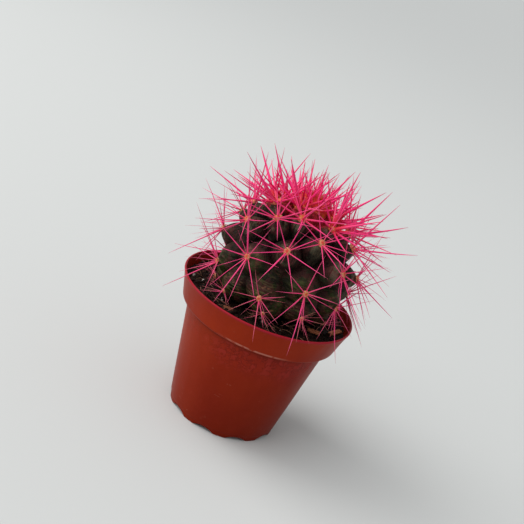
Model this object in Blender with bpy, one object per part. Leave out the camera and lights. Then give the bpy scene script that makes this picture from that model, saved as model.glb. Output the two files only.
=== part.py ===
"""Potted barrel cactus: a young plant with dyed spines, in a thin plastic nursery pot.

Metres, +Z up. The origin is the centre of the pot's base, and -Y is the front.
The plant, the soil, the pot and each loose chip of bark are objects of their own.
"""

import math

import bmesh
import bpy
import numpy as np
from mathutils import Matrix, Vector, noise

# Room between pieces that touch on the real thing.
GAP = 0.0003
SEED = 11

# Pot: a tapered body, a wider collar at the top, and a scalloped skirt for a foot.
POT_HEIGHT = 0.0665
RIM_RADIUS = 0.0425
WALL = 0.0009
COLLAR_HEIGHT = 0.0136
COLLAR_SLOPE = math.radians(15.0)
COLLAR_ROUNDING = 0.0012
BODY_TOP_RADIUS = 0.0359
BODY_FOOT_RADIUS = 0.0274
BODY_FOOT_HEIGHT = 0.0030
SKIRT_RADIUS = 0.0270
SKIRT_WALL = 0.0011
FLOOR = 0.0010
PAD_RADIUS = 0.0150
CHANNEL_HEIGHT = 0.0020
CHANNEL_SLANT = 0.0010
POT_SIDES = 48
DRAIN_HOLES = 6
DRAIN_RADIUS = 0.0025
DRAIN_CIRCLE = 0.0205
FEET = 10
FIRST_NOTCH = math.radians(8.0)
NOTCH_WIDTH = 0.0110
NOTCH_HEIGHT = 0.0017

# Soil: filled to a little below the rim, with a plain hole for the stem's foot.
SOIL_LEVEL = 0.0620
SOIL_SIDES = 60
SOIL_RINGS = 8
SOIL_RELIEF = 0.0008
CRUMB_SIZE = 0.0045
CALM_WIDTH = 0.0030

# Stem: an egg-shaped envelope, sunk a little at its crown, that leans towards the back.
STEM_CENTRE = np.array((0.0015, 0.0, 0.0865))
STEM_LEAN = math.radians(17.0)
STEM_RADIUS = 0.0335
STEM_UPPER = 0.0285
STEM_LOWER = 0.0400
CROWN_DIP = 0.0035
CROWN_DIP_WIDTH = math.radians(26.0)
STEM_DETAIL = 6
STEM_THINNING = 0.142
CORE_SHARE = 0.76
FOOT_DEPTH = 0.0090
FOOT_RADIUS = 0.0165
FOOT_SIDES = 40

# Areoles follow one spiral from the crown down, a fixed turn from one to the next.
AREOLE_TURN = 137.7
AREOLE_COUNT = 55
FRONT_AREOLE = 33
FRONT_TURN = -2.0
CROWN_START = 0.4
EQUATOR_AREOLE = 36.6
LOWER_CROWDING = 0.9
# Small departures from the rule, as (turn, drop) in degrees, on the front of the plant.
DEPARTURES = {
    15: (-4, 9), 20: (-10, 0), 22: (3, -1), 23: (5, 2), 25: (0, -2), 28: (-8, -3), 30: (6, -2),
    31: (1, 8), 33: (-1, 2), 35: (0, 1), 36: (-2, -7), 38: (3, 2), 41: (4, 1), 43: (-3, 0),
    44: (-8, -4), 46: (2, 4), 49: (-7, 0), 51: (-9, 1), 54: (-12, -1),
}
JITTER = 2.0
LOWEST_AREOLE = 0.0030

# Tubercles: blunt cones, joined in narrow valleys, each hanging a little below its areole.
TUBERCLE_SLOPE = 1.45
OLD_TUBERCLE_SLOPE = 0.62
OLD_AREOLES = (27, 44)
TUBERCLE_ROUNDING = 0.0036
TUBERCLE_HANG = 0.0012
VALLEY_ROUNDING = 0.0006

# Wool: a low cushion in each areole, and one on the crown where the areoles are still close.
WOOL_RADIUS = 0.0016
WOOL_HEIGHT = 0.0009
WOOL_SIDES = 6
CROWN_WOOL = (0.0100, 0.0042)
CROWN_AREOLES = 6

# Spines: three-sided, straight and pointed. Each row goes by the areole's count from the crown:
# how many stand round it, how far they spread, how long they are, and for the ones in the
# middle their share of that spread and of that length.
SPINE_AGES = (0, 4, 12, 20, 32, 45, 47, 55)
SPINE_COUNTS = (4, 6, 8, 8, 8, 8, 5, 4)
SPINE_SPREADS = (24, 40, 58, 64, 68, 68, 66, 60)
SPINE_LENGTHS = (0.0145, 0.0210, 0.0245, 0.0255, 0.0230, 0.0190, 0.0130, 0.0105)
CENTRAL_SHARES = (0.3, 0.3, 0.3, 0.3, 0.5, 0.75, 0.75, 0.3)
CENTRAL_STRETCH = (1.0, 1.0, 1.0, 1.0, 1.05, 1.25, 1.2, 1.0)
FULL_STAR = 8
SPINE_RADIUS = 0.00058
SPINE_SUNK = 0.0018
SPINE_RING = 0.0010
SPINE_CLEARANCE = 0.0011
SPINE_ROOM = 0.00015
ROOT_REACH = 0.0035
SPINE_TRIES = 12
LIFT_STEP = math.radians(4.0)
LIFT_LIMIT = 22

# Loose chips of bark: (x, y, turn in degrees, length, width).
CHIPS = (
    (0.0254, -0.0134, 9.0, 0.0064, 0.0028),
    (0.0353, -0.0046, 60.0, 0.0108, 0.0027),
    (-0.0147, -0.0270, 11.0, 0.0048, 0.0026),
    (-0.0205, 0.0240, 140.0, 0.0080, 0.0034),
    (0.0190, 0.0290, -35.0, 0.0062, 0.0030),
)
CHIP_HEIGHT = 0.0015


def clear_scene():
    """Remove every object and mesh that the file opened with."""
    for item in list(bpy.data.objects):
        bpy.data.objects.remove(item, do_unlink=True)
    for mesh in list(bpy.data.meshes):
        bpy.data.meshes.remove(mesh)


def make_material(name, colour, roughness):
    """A plain Principled material."""
    material = bpy.data.materials.new(name)
    material.use_nodes = True
    shader = material.node_tree.nodes["Principled BSDF"]
    shader.inputs["Base Color"].default_value = (*colour, 1.0)
    shader.inputs["Roughness"].default_value = roughness
    shader.inputs["Metallic"].default_value = 0.0
    material.diffuse_color = (*colour, 1.0)
    return material


def add_object(name, points, edges, faces, materials=()):
    """A new object from points, edges and faces, linked to the scene."""
    mesh = bpy.data.meshes.new(name)
    mesh.from_pydata([tuple(float(v) for v in p) for p in points], edges, faces)
    for material in materials:
        mesh.materials.append(material)
    item = bpy.data.objects.new(name, mesh)
    bpy.context.scene.collection.objects.link(item)
    return item


def face_outwards(mesh):
    """Turn all faces of a closed mesh outwards."""
    work = bmesh.new()
    work.from_mesh(mesh)
    bmesh.ops.recalc_face_normals(work, faces=work.faces)
    work.to_mesh(mesh)
    work.free()


def smooth(mesh, degrees):
    """Smooth shading with edges sharper than the angle kept sharp."""
    mesh.shade_smooth()
    mesh.set_sharp_from_angle(angle=math.radians(degrees))


def apply_boolean(item, operation, operands, solver):
    """Join or cut an object with a list of others, keep the result, and remove the others."""
    group = bpy.data.collections.new(item.name + "_operands")
    for operand in operands:
        group.objects.link(operand)
    boolean = item.modifiers.new(operation.lower(), "BOOLEAN")
    boolean.operation = operation
    boolean.operand_type = "COLLECTION"
    boolean.collection = group
    boolean.solver = solver
    graph = bpy.context.evaluated_depsgraph_get()
    result = bpy.data.meshes.new_from_object(item.evaluated_get(graph))
    item.modifiers.clear()
    item.data = result
    for operand in operands:
        bpy.data.objects.remove(operand, do_unlink=True)
    bpy.data.collections.remove(group)


# Pot


def arc(centre, radius, start, end, steps):
    """Points of a round stretch of a half section, from one angle to another in degrees."""
    turns = np.radians(np.linspace(start, end, steps + 1))
    return [(centre[0] + radius * math.cos(t), centre[1] + radius * math.sin(t)) for t in turns]


def collar_radius(z):
    """Outer radius of the collar at a height."""
    return RIM_RADIUS - (POT_HEIGHT - z) * math.tan(COLLAR_SLOPE)


def body_radius(z):
    """Outer radius of the tapered body at a height."""
    top = POT_HEIGHT - COLLAR_HEIGHT
    share = (z - BODY_FOOT_HEIGHT) / (top - BODY_FOOT_HEIGHT)
    return BODY_FOOT_RADIUS + share * (BODY_TOP_RADIUS - BODY_FOOT_RADIUS)


def inner_section(inset, top):
    """Inside of the pot from its floor's centre up to a height, moved in and up by inset."""
    ledge = POT_HEIGHT - COLLAR_HEIGHT
    channel = CHANNEL_HEIGHT + FLOOR
    points = [
        (PAD_RADIUS - CHANNEL_SLANT / 2, FLOOR),
        (PAD_RADIUS + CHANNEL_SLANT / 2, channel),
        (body_radius(channel) - 2 * WALL, channel),
        (body_radius(channel + WALL) - WALL, channel + WALL),
        (body_radius(ledge) - WALL, ledge),
        (body_radius(ledge) - WALL + 0.0007, ledge + WALL),
        (collar_radius(ledge + WALL) - 2 * WALL, ledge + 1.2 * WALL),
        (collar_radius(ledge + 3 * WALL) - WALL, ledge + 3 * WALL),
    ]
    moved = [(0.0, FLOOR + inset)] + [(r - inset, z + inset) for r, z in points]
    return moved + [(collar_radius(top) - WALL - inset, top)]


def pot_section():
    """Half section: along the floor, up the inside, over the lip, down the outside, back in."""
    ledge = POT_HEIGHT - COLLAR_HEIGHT
    lip = WALL / 2
    points = inner_section(0.0, POT_HEIGHT - lip)
    points += arc((RIM_RADIUS - lip, POT_HEIGHT - lip), lip, 135, 0, 3)
    height = ledge + COLLAR_ROUNDING
    points += arc((collar_radius(height) - COLLAR_ROUNDING, height), COLLAR_ROUNDING, -10, -80, 2)
    points += [
        (BODY_TOP_RADIUS + 0.0006, ledge - 0.0002),
        (body_radius(ledge - WALL), ledge - WALL),
        (BODY_FOOT_RADIUS, BODY_FOOT_HEIGHT),
        (SKIRT_RADIUS, BODY_FOOT_HEIGHT - 0.0008),
        (SKIRT_RADIUS, 0.0),
        (SKIRT_RADIUS - SKIRT_WALL, 0.0),
        (SKIRT_RADIUS - SKIRT_WALL, CHANNEL_HEIGHT),
        (PAD_RADIUS + CHANNEL_SLANT, CHANNEL_HEIGHT),
        (PAD_RADIUS, 0.0),
        (0.0, 0.0),
    ]
    return points


def drain_cutters():
    """Upright cylinders that make the drain holes in the raised channel of the floor."""
    cutters = []
    for index in range(DRAIN_HOLES):
        turn = 2 * math.pi * (index + 0.5) / DRAIN_HOLES
        bpy.ops.mesh.primitive_cylinder_add(
            vertices=14,
            radius=DRAIN_RADIUS,
            depth=0.008,
            location=(DRAIN_CIRCLE * math.cos(turn), DRAIN_CIRCLE * math.sin(turn), CHANNEL_HEIGHT),
        )
        cutters.append(bpy.context.object)
    return cutters


def notch_cutters():
    """Level cylinders, each pointing out from the axis, that scallop the skirt into feet."""
    radius = ((NOTCH_WIDTH / 2) ** 2 + NOTCH_HEIGHT**2) / (2 * NOTCH_HEIGHT)
    cutters = []
    for index in range(FEET):
        turn = FIRST_NOTCH + 2 * math.pi * index / FEET
        place = Matrix.Rotation(turn, 4, "Z") @ Matrix.Translation(
            (SKIRT_RADIUS, 0.0, NOTCH_HEIGHT - radius)
        )
        bpy.ops.mesh.primitive_cylinder_add(vertices=44, radius=radius, depth=0.0042)
        cutter = bpy.context.object
        cutter.matrix_world = place @ Matrix.Rotation(math.pi / 2, 4, "Y")
        cutters.append(cutter)
    return cutters


def make_pot():
    """The pot, turned from its half section, with its drain holes and notches cut."""
    plastic = make_material("terracotta_plastic", (0.235, 0.030, 0.012), 0.42)
    section = pot_section()
    points = [(r, 0.0, z) for r, z in section]
    edges = [(i, i + 1) for i in range(len(points) - 1)]
    pot = add_object("pot", points, edges, [], [plastic])
    screw = pot.modifiers.new("turn", "SCREW")
    screw.axis = "Z"
    screw.steps = POT_SIDES
    screw.render_steps = POT_SIDES
    screw.use_merge_vertices = True
    screw.merge_threshold = 0.00001
    apply_boolean(pot, "DIFFERENCE", drain_cutters() + notch_cutters(), "EXACT")
    smooth(pot.data, 40)
    return pot


# Soil


def stem_foot_centre():
    """Where the stem's axis meets the soil, as x and y."""
    drop = (STEM_CENTRE[2] - SOIL_LEVEL) * math.tan(STEM_LEAN)
    return np.array((STEM_CENTRE[0], STEM_CENTRE[1] - drop))


def calm_share(x, y):
    """0 on the flat spots round the stem and under each chip, 1 well away from them."""
    clear = np.hypot(*(np.array((x, y)) - stem_foot_centre())) - STEM_RADIUS * 0.85
    for chip_x, chip_y, _, length, _ in CHIPS:
        clear = min(clear, math.hypot(x - chip_x, y - chip_y) - length / 2 - CALM_WIDTH)
    return min(max(clear / CALM_WIDTH, 0.0), 1.0)


def soil_height(x, y):
    """Height of the soil: level, with crumbs raised by two sizes of noise."""
    coarse = noise.noise(Vector((x / CRUMB_SIZE, y / CRUMB_SIZE, 0.3)))
    fine = noise.noise(Vector((x / CRUMB_SIZE * 2.3, y / CRUMB_SIZE * 2.3, 7.1)))
    return SOIL_LEVEL + SOIL_RELIEF * (1.3 * coarse + 0.7 * fine) * calm_share(x, y)


def make_soil():
    """The soil as rings about the stem's hole: hole, top, sides and underside in one skin."""
    peat = make_material("peat", (0.018, 0.011, 0.008), 0.95)
    centre = stem_foot_centre()
    hole = FOOT_RADIUS + GAP
    hole_floor = SOIL_LEVEL - FOOT_DEPTH - GAP
    section = inner_section(GAP * 1.2, SOIL_LEVEL)[::-1]
    turns = 2 * np.pi * np.arange(SOIL_SIDES) / SOIL_SIDES
    ways = np.stack((np.cos(turns), np.sin(turns)), axis=1)
    along = ways @ centre

    def reach(radius):
        """How far each way runs from the hole's centre to a circle about the pot's axis."""
        return -along + np.sqrt(along**2 - centre @ centre + radius**2)

    rings = [(np.full(SOIL_SIDES, hole), hole_floor), (np.full(SOIL_SIDES, hole), SOIL_LEVEL)]
    edge = reach(section[0][0])
    for index in range(1, SOIL_RINGS):
        rings.append((hole + (edge - hole) * index / SOIL_RINGS, None))
    rings += [(reach(radius), height) for radius, height in section[:-1]]

    points = [(*centre, hole_floor)]
    for lengths, height in rings:
        for (x, y), length in zip(ways, lengths):
            spot = (centre[0] + x * length, centre[1] + y * length)
            points.append((*spot, soil_height(*spot) if height is None else height))
    points.append((*centre, section[-1][1]))
    item = add_object("soil", points, [], ring_faces(len(rings), SOIL_SIDES), [peat])
    face_outwards(item.data)
    smooth(item.data, 50)
    return item


def ring_faces(rings, sides):
    """Faces between rings of equal length, with one pole before them and one after."""
    faces = []
    last = rings * sides + 1
    for side in range(sides):
        after = (side + 1) % sides
        faces.append((0, 1 + side, 1 + after))
        for ring in range(rings - 1):
            near = 1 + ring * sides
            far = near + sides
            faces.append((near + side, far + side, far + after, near + after))
        near = 1 + (rings - 1) * sides
        faces.append((last, near + after, near + side))
    return faces


# Plant


def from_plant(points):
    """From the plant's own frame, +Z along its axis and its centre at zero, to the world."""
    sine, cosine = math.sin(STEM_LEAN), math.cos(STEM_LEAN)
    lean = np.array(((1, 0, 0), (0, cosine, sine), (0, -sine, cosine)))
    return np.asarray(points) @ lean.T + STEM_CENTRE


def to_plant(points):
    """From the world to the plant's own frame."""
    sine, cosine = math.sin(STEM_LEAN), math.cos(STEM_LEAN)
    lean = np.array(((1, 0, 0), (0, cosine, sine), (0, -sine, cosine)))
    return (np.asarray(points) - STEM_CENTRE) @ lean


def spiral_place(index, rng):
    """Areole on the envelope, in the plant's frame, counted from the crown down.

    The cosine of its drop from the crown falls with the square of its count, so that
    areoles crowd at the crown, and levels out below the equator.
    """
    turn, drop = DEPARTURES.get(index, rng.uniform(-JITTER, JITTER, 2))
    cosine = 1 - ((index + CROWN_START) / EQUATOR_AREOLE) ** 2
    if cosine < 0:
        cosine = -LOWER_CROWDING * (1 - math.exp(cosine / LOWER_CROWDING))
    polar = math.acos(cosine) + math.radians(drop)
    azimuth = math.radians(FRONT_TURN + AREOLE_TURN * (index - FRONT_AREOLE) + turn)
    height = STEM_UPPER if math.cos(polar) > 0 else STEM_LOWER
    return np.array((
        STEM_RADIUS * math.sin(polar) * math.sin(azimuth),
        -STEM_RADIUS * math.sin(polar) * math.cos(azimuth),
        height * math.cos(polar) - CROWN_DIP * math.exp(-((polar / CROWN_DIP_WIDTH) ** 2)),
    ))


def envelope_normal(point):
    """Outward normal of the envelope at a point of it."""
    height = STEM_UPPER if point[2] > 0 else STEM_LOWER
    slope = point / np.array((STEM_RADIUS, STEM_RADIUS, height)) ** 2
    return slope / np.linalg.norm(slope)


def areole_places():
    """Every areole above the soil, as count and place, the lowest raised clear of it."""
    rng = np.random.default_rng(SEED)
    places = []
    for index in range(AREOLE_COUNT):
        world = from_plant(spiral_place(index, rng))
        if world[2] > SOIL_LEVEL + GAP:
            world[2] = max(world[2], SOIL_LEVEL + LOWEST_AREOLE)
            places.append((index, to_plant(world)))
    return places


def tubercle_surface(ways, places):
    """Distance of the skin from the centre along unit directions.

    Round each areole stands a blunt cone, whose height falls with the arc from its top as
    a hyperbola, less steeply on the old ones low down. The skin is their soft maximum, and
    never under a share of the envelope.
    """
    heights = np.where(ways[:, 2] > 0, STEM_UPPER, STEM_LOWER)
    level = (ways[:, 0] ** 2 + ways[:, 1] ** 2) / STEM_RADIUS**2
    envelope = 1 / np.sqrt(level + ways[:, 2] ** 2 / heights**2)
    total = np.exp((envelope * CORE_SHARE - STEM_RADIUS) / VALLEY_ROUNDING)
    for index, place in places:
        slope = np.interp(index, OLD_AREOLES, (TUBERCLE_SLOPE, OLD_TUBERCLE_SLOPE))
        tall = np.linalg.norm(place)
        low = place - np.array((0, 0, TUBERCLE_HANG))
        reach = np.arccos(np.clip(ways @ (low / np.linalg.norm(low)), -1, 1)) * tall
        fall = np.sqrt(reach**2 + TUBERCLE_ROUNDING**2) - TUBERCLE_ROUNDING
        total += np.exp((tall - slope * fall - STEM_RADIUS) / VALLEY_ROUNDING)
    return STEM_RADIUS + VALLEY_ROUNDING * np.log(total)


def make_stem(places, materials):
    """The stem: a sphere drawn out to its tubercles and cut off just above the soil."""
    bpy.ops.mesh.primitive_ico_sphere_add(subdivisions=STEM_DETAIL, radius=1.0)
    stem = bpy.context.object
    stem.name = "cactus"
    mesh = stem.data
    mesh.name = "cactus"
    ways = np.empty(len(mesh.vertices) * 3)
    mesh.vertices.foreach_get("co", ways)
    ways = ways.reshape(-1, 3)
    ways /= np.linalg.norm(ways, axis=1)[:, None]
    skin = from_plant(ways * tubercle_surface(ways, places)[:, None])
    mesh.vertices.foreach_set("co", skin.ravel())
    mesh.update()
    thinning = stem.modifiers.new("thinning", "DECIMATE")
    thinning.ratio = STEM_THINNING
    graph = bpy.context.evaluated_depsgraph_get()
    stem.data = bpy.data.meshes.new_from_object(stem.evaluated_get(graph))
    stem.modifiers.remove(thinning)
    for material in materials:
        stem.data.materials.append(material)

    depth = STEM_LOWER * 2
    bpy.ops.mesh.primitive_cube_add(size=1.0)
    below = bpy.context.object
    below.scale = (depth * 2, depth * 2, depth)
    below.location = (0.0, 0.0, SOIL_LEVEL + GAP - depth / 2)
    bpy.context.view_layer.update()
    apply_boolean(stem, "DIFFERENCE", [below], "EXACT")
    return stem


def make_foot(materials):
    """The stem's foot, an upright cylinder that stands in the soil's hole."""
    low = SOIL_LEVEL - FOOT_DEPTH
    high = SOIL_LEVEL + FOOT_DEPTH
    bpy.ops.mesh.primitive_cylinder_add(
        vertices=FOOT_SIDES,
        radius=FOOT_RADIUS,
        depth=high - low,
        location=(*stem_foot_centre(), (low + high) / 2),
    )
    foot = bpy.context.object
    for material in materials:
        foot.data.materials.append(material)
    return foot


def paint(item, slot):
    """Give every face of an object one of its material slots."""
    item.data.polygons.foreach_set("material_index", [slot] * len(item.data.polygons))


def make_cushion(root, normal, materials):
    """A low, few-sided cushion of wool on an areole."""
    place = Vector(normal).to_track_quat("Z", "Y").to_matrix().to_4x4()
    place.translation = Vector(root)
    bpy.ops.mesh.primitive_cone_add(
        vertices=WOOL_SIDES,
        radius1=WOOL_RADIUS,
        radius2=WOOL_RADIUS * 0.55,
        depth=WOOL_HEIGHT * 2,
    )
    cushion = bpy.context.object
    cushion.data.transform(place)
    for material in materials:
        cushion.data.materials.append(material)
    paint(cushion, 2)
    return cushion


def make_crown(materials):
    """The low dome of wool on the crown."""
    radius, height = CROWN_WOOL
    bpy.ops.mesh.primitive_ico_sphere_add(subdivisions=2, radius=1.0)
    crown = bpy.context.object
    crown.data.transform(Matrix.Diagonal((radius, radius, height, 1.0)))
    crown.data.transform(Matrix.Rotation(-STEM_LEAN, 4, "X"))
    crown.data.transform(Matrix.Translation(from_plant((0.0, 0.0, STEM_UPPER - CROWN_DIP))))
    for material in materials:
        crown.data.materials.append(material)
    paint(crown, 2)
    return crown


def near_chip(x, y):
    """Whether a spot lies over one of the chips, or right beside it."""
    room = 0.0015
    return any(math.hypot(x - c[0], y - c[1]) < c[3] / 2 + room for c in CHIPS)


def is_blocked(point):
    """Whether a point is too near the soil, a chip or the pot."""
    x, y, z = point
    radius = math.hypot(x, y)
    if radius > RIM_RADIUS + SPINE_CLEARANCE:
        return False
    if radius > collar_radius(z) - WALL - SPINE_CLEARANCE:
        return z < POT_HEIGHT + SPINE_CLEARANCE
    top = SOIL_LEVEL + SOIL_RELIEF + SPINE_CLEARANCE
    if near_chip(x, y):
        top += CHIP_HEIGHT
    return z < top


def is_clear(root, way, length):
    """Whether a spine from a root misses the soil, the chips and the pot."""
    steps = np.linspace(0.25, 1.0, 32)
    return not any(is_blocked(root + way * length * step) for step in steps)


def lifted(root, way, length):
    """The way and length of a spine, bent up and then shortened until it is clear."""
    up = np.array((0.0, 0.0, 1.0))
    for share in (1.0, 0.8, 0.6):
        turned = way
        for _ in range(LIFT_LIMIT):
            if is_clear(root, turned, length * share):
                return turned, length * share
            side = up - turned * turned[2]
            side /= max(np.linalg.norm(side), 1e-6)
            turned = turned * math.cos(LIFT_STEP) + side * math.sin(LIFT_STEP)
            turned /= np.linalg.norm(turned)
    return up, length * share


def spine_plan(index, rng):
    """Spines of one areole, as (turn, spread from the normal, length) in degrees and metres.

    Young areoles stand their spines up together. Older ones lay most of them out in a
    star, with one or two more in its middle, the first of which points down, and hangs
    lower and longer on the old ones. The lowest ones, half buried, keep a few short ones.
    """
    outer = int(np.interp(index, SPINE_AGES, SPINE_COUNTS))
    spread = np.interp(index, SPINE_AGES, SPINE_SPREADS)
    reach = np.interp(index, SPINE_AGES, SPINE_LENGTHS)
    inner = rng.integers(1, 3) if outer >= FULL_STAR else 1
    first = rng.uniform(0, 360)
    plan = []
    for number in range(outer):
        turn = first + 360 * (number + rng.uniform(-0.22, 0.22)) / outer
        plan.append((turn, spread + rng.uniform(-8, 8), reach * rng.uniform(0.75, 1.1)))
    share = np.interp(index, SPINE_AGES, CENTRAL_SHARES)
    stretch = np.interp(index, SPINE_AGES, CENTRAL_STRETCH)
    for number in range(inner):
        turn = (180 if number == 0 else 0) + rng.uniform(-25, 25)
        lean = spread * (share + rng.uniform(0.0, 0.3))
        plan.append((turn, lean, reach * stretch * rng.uniform(1.0, 1.2)))
    return plan


def room_round(root, way, length, places, others):
    """Least room along a spine, to the skin and to the spines that are placed already.

    Points along it are compared with the skin's distance from the centre, and with the
    nearest points of the others' centre lines, less the radii there. Room close to the
    root isn't counted.
    """
    shares = np.linspace(0.1, 1.0, 28)
    points = root + way * (length * shares)[:, None]
    outer = shares * length > ROOT_REACH
    inner = to_plant(points)
    far = np.linalg.norm(inner, axis=1)
    skin = far - tubercle_surface(inner / far[:, None], places)
    room = skin[outer].min() - SPINE_RADIUS
    if others:
        roots, ways, lengths = (np.array(part) for part in zip(*others))
        offset = points[:, None] - roots
        along = np.clip(np.einsum("ijk,jk->ij", offset, ways), 0, lengths)
        gap = np.linalg.norm(offset - along[..., None] * ways, axis=2)
        gap -= SPINE_RADIUS * (2 - shares[:, None] - along / lengths)
        apart = (along > ROOT_REACH) | (np.linalg.norm(roots - root, axis=1) > 2 * ROOT_REACH)
        gap = np.where(outer[:, None] & apart, gap, np.inf)
        room = min(room, gap.min())
    return room


def areole_spines(index, root, normal, places, others, rng):
    """The spines of one areole, as (root, way, length).

    Each stands on a small ring, and is turned a little until it misses the skin and the
    other spines. It is lifted off the soil, the chips and the pot.
    """
    side = np.cross((0.0, 0.0, 1.0), normal)
    side /= np.linalg.norm(side)
    up = np.cross(normal, side)
    spines = []
    for turn, spread, length in spine_plan(index, rng):
        best = None
        for _ in range(SPINE_TRIES):
            angle, tilt = math.radians(turn), math.radians(spread)
            across = side * math.sin(angle) + up * math.cos(angle)
            start = root + across * SPINE_RING * math.sin(tilt)
            way, reach = lifted(start, normal * math.cos(tilt) + across * math.sin(tilt), length)
            room = room_round(start, way, reach, places, others + spines)
            if best is None or room > best[0]:
                best = (room, (start, way, reach))
            if room > SPINE_ROOM:
                break
            turn += rng.uniform(-12, 12)
            spread = max(spread + rng.uniform(-10, 5), 6)
        spines.append(best[1])
    return spines


def all_spines(places):
    """Every spine of the plant, as (root, way, length)."""
    rng = np.random.default_rng(SEED + 1)
    spines = []
    for index, place in places:
        root = from_plant(place)
        normal = from_plant(envelope_normal(place)) - STEM_CENTRE
        spines += areole_spines(index, root, normal, places, spines, rng)
    return spines


def make_spine(root, way, length, materials):
    """A three-sided spine, its blunt end sunk in the areole."""
    side = np.cross(way, (0.31, 0.17, 0.93))
    side /= np.linalg.norm(side)
    other = np.cross(way, side)
    base = root - way * SPINE_SUNK
    turns = [2 * math.pi * corner / 3 for corner in range(3)]
    ring = [base + SPINE_RADIUS * (side * math.cos(t) + other * math.sin(t)) for t in turns]
    faces = [(0, 2, 1), (0, 1, 3), (1, 2, 3), (2, 0, 3)]
    spine = add_object("spine", [*ring, root + way * length], [], faces, materials)
    paint(spine, 1)
    return spine


def make_cactus():
    """The plant as one solid: stem, foot, wool and spines joined in one union."""
    materials = [
        make_material("stem_skin", (0.030, 0.042, 0.022), 0.55),
        make_material("dyed_spine", (0.780, 0.030, 0.130), 0.45),
        make_material("areole_wool", (0.560, 0.180, 0.070), 0.90),
    ]
    places = areole_places()
    cactus = make_stem(places, materials)
    joined = [make_foot(materials), make_crown(materials)]
    for _, place in places[CROWN_AREOLES:]:
        normal = from_plant(envelope_normal(place)) - STEM_CENTRE
        joined.append(make_cushion(from_plant(place), normal, materials))
    joined += [make_spine(*spine, materials) for spine in all_spines(places)]
    apply_boolean(cactus, "UNION", joined, "MANIFOLD")
    smooth(cactus.data, 35)
    return cactus


# Chips


def make_chip(number, x, y, degrees, length, width):
    """A flat sliver of bark with broken ends, resting on its flat spot of soil."""
    bark = make_material(f"bark_{number}", (0.330, 0.120, 0.045), 0.85)
    rng = np.random.default_rng(SEED + 10 + number)
    corners = []
    for along, across in ((-1, -0.4), (-0.8, -1), (0.1, -0.9), (0.9, -0.8), (1, 0.1),
                          (0.75, 0.9), (-0.2, 1), (-0.9, 0.7)):
        corners.append((
            along * length / 2 * rng.uniform(0.9, 1.0),
            across * width / 2 * rng.uniform(0.8, 1.0),
        ))
    low = SOIL_LEVEL + GAP
    points = [(a, b, low) for a, b in corners]
    tilt = rng.uniform(-0.15, 0.15)
    for a, b in corners:
        points.append((a * 0.9, b * 0.75, low + CHIP_HEIGHT * (0.8 + tilt * a / length)))
    count = len(corners)
    faces = [tuple(reversed(range(count))), tuple(range(count, 2 * count))]
    faces += [(i, (i + 1) % count, count + (i + 1) % count, count + i) for i in range(count)]
    chip = add_object(f"bark_chip_{number}", points, [], faces, [bark])
    chip.data.transform(Matrix.Translation((x, y, 0)) @ Matrix.Rotation(math.radians(degrees), 4, "Z"))
    face_outwards(chip.data)
    smooth(chip.data, 30)
    return chip


def main():
    """Build every object."""
    clear_scene()
    make_pot()
    make_soil()
    make_cactus()
    for number, chip in enumerate(CHIPS, 1):
        make_chip(number, *chip)


main()
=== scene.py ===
import math

import bmesh
import bpy
import numpy as np
from mathutils import Matrix, Quaternion, Vector


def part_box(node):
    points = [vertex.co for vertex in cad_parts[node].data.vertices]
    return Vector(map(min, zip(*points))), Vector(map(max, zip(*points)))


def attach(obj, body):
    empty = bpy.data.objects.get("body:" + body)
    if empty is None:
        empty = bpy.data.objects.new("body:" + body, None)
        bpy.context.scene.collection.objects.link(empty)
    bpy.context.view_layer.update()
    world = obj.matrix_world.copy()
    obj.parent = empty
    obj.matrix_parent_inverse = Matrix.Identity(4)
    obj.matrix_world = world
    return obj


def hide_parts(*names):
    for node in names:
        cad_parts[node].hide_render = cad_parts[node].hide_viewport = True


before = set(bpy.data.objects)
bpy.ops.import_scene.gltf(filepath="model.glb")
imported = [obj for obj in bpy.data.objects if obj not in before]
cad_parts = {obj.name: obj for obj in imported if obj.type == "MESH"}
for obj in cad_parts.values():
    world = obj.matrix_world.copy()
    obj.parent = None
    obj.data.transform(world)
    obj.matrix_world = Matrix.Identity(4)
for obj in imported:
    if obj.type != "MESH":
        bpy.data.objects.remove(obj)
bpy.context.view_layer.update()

# Looks of a young barrel cactus with dyed spines, in a thin terracotta-red nursery pot.
# Metres, +Z up, the pot's base at the origin, and -Y the front.

UP = np.array((0.0, 0.0, 1.0))

# Sizes shared with the solids.
GAP = 0.0003
SEED = 11

POT_HEIGHT = round(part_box("pot")[1].z, 4)
RIM_RADIUS = round(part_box("pot")[1].x, 4)
WALL = 0.0009
LIP_RADIUS = WALL / 2 + 0.00005
COLLAR_HEIGHT = 0.0136
COLLAR_SLOPE = math.radians(15.0)
COLLAR_ROUNDING = 0.0012
LEDGE_HEIGHT = POT_HEIGHT - COLLAR_HEIGHT
INNER_LEDGE = 0.0007
BODY_TOP_RADIUS = 0.0359
BODY_FOOT_RADIUS = 0.0274
BODY_FOOT_HEIGHT = 0.0030
SKIRT_RADIUS = 0.0270
SKIRT_WALL = 0.0011
FLOOR = 0.0010
PAD_RADIUS = 0.0150
CHANNEL_HEIGHT = 0.0020
CHANNEL_SLANT = 0.0010
DRAIN_HOLES = 6
DRAIN_RADIUS = 0.0025
DRAIN_CIRCLE = 0.0205
FEET = 10
FIRST_NOTCH = math.radians(8.0)
NOTCH_WIDTH = 0.0110
NOTCH_HEIGHT = 0.0017

SOIL_LEVEL = 0.0620
SOIL_RELIEF = 0.0008
SOIL_REACH = RIM_RADIUS - (POT_HEIGHT - SOIL_LEVEL) * math.tan(COLLAR_SLOPE) - WALL
CALM_WIDTH = 0.0030

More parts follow.
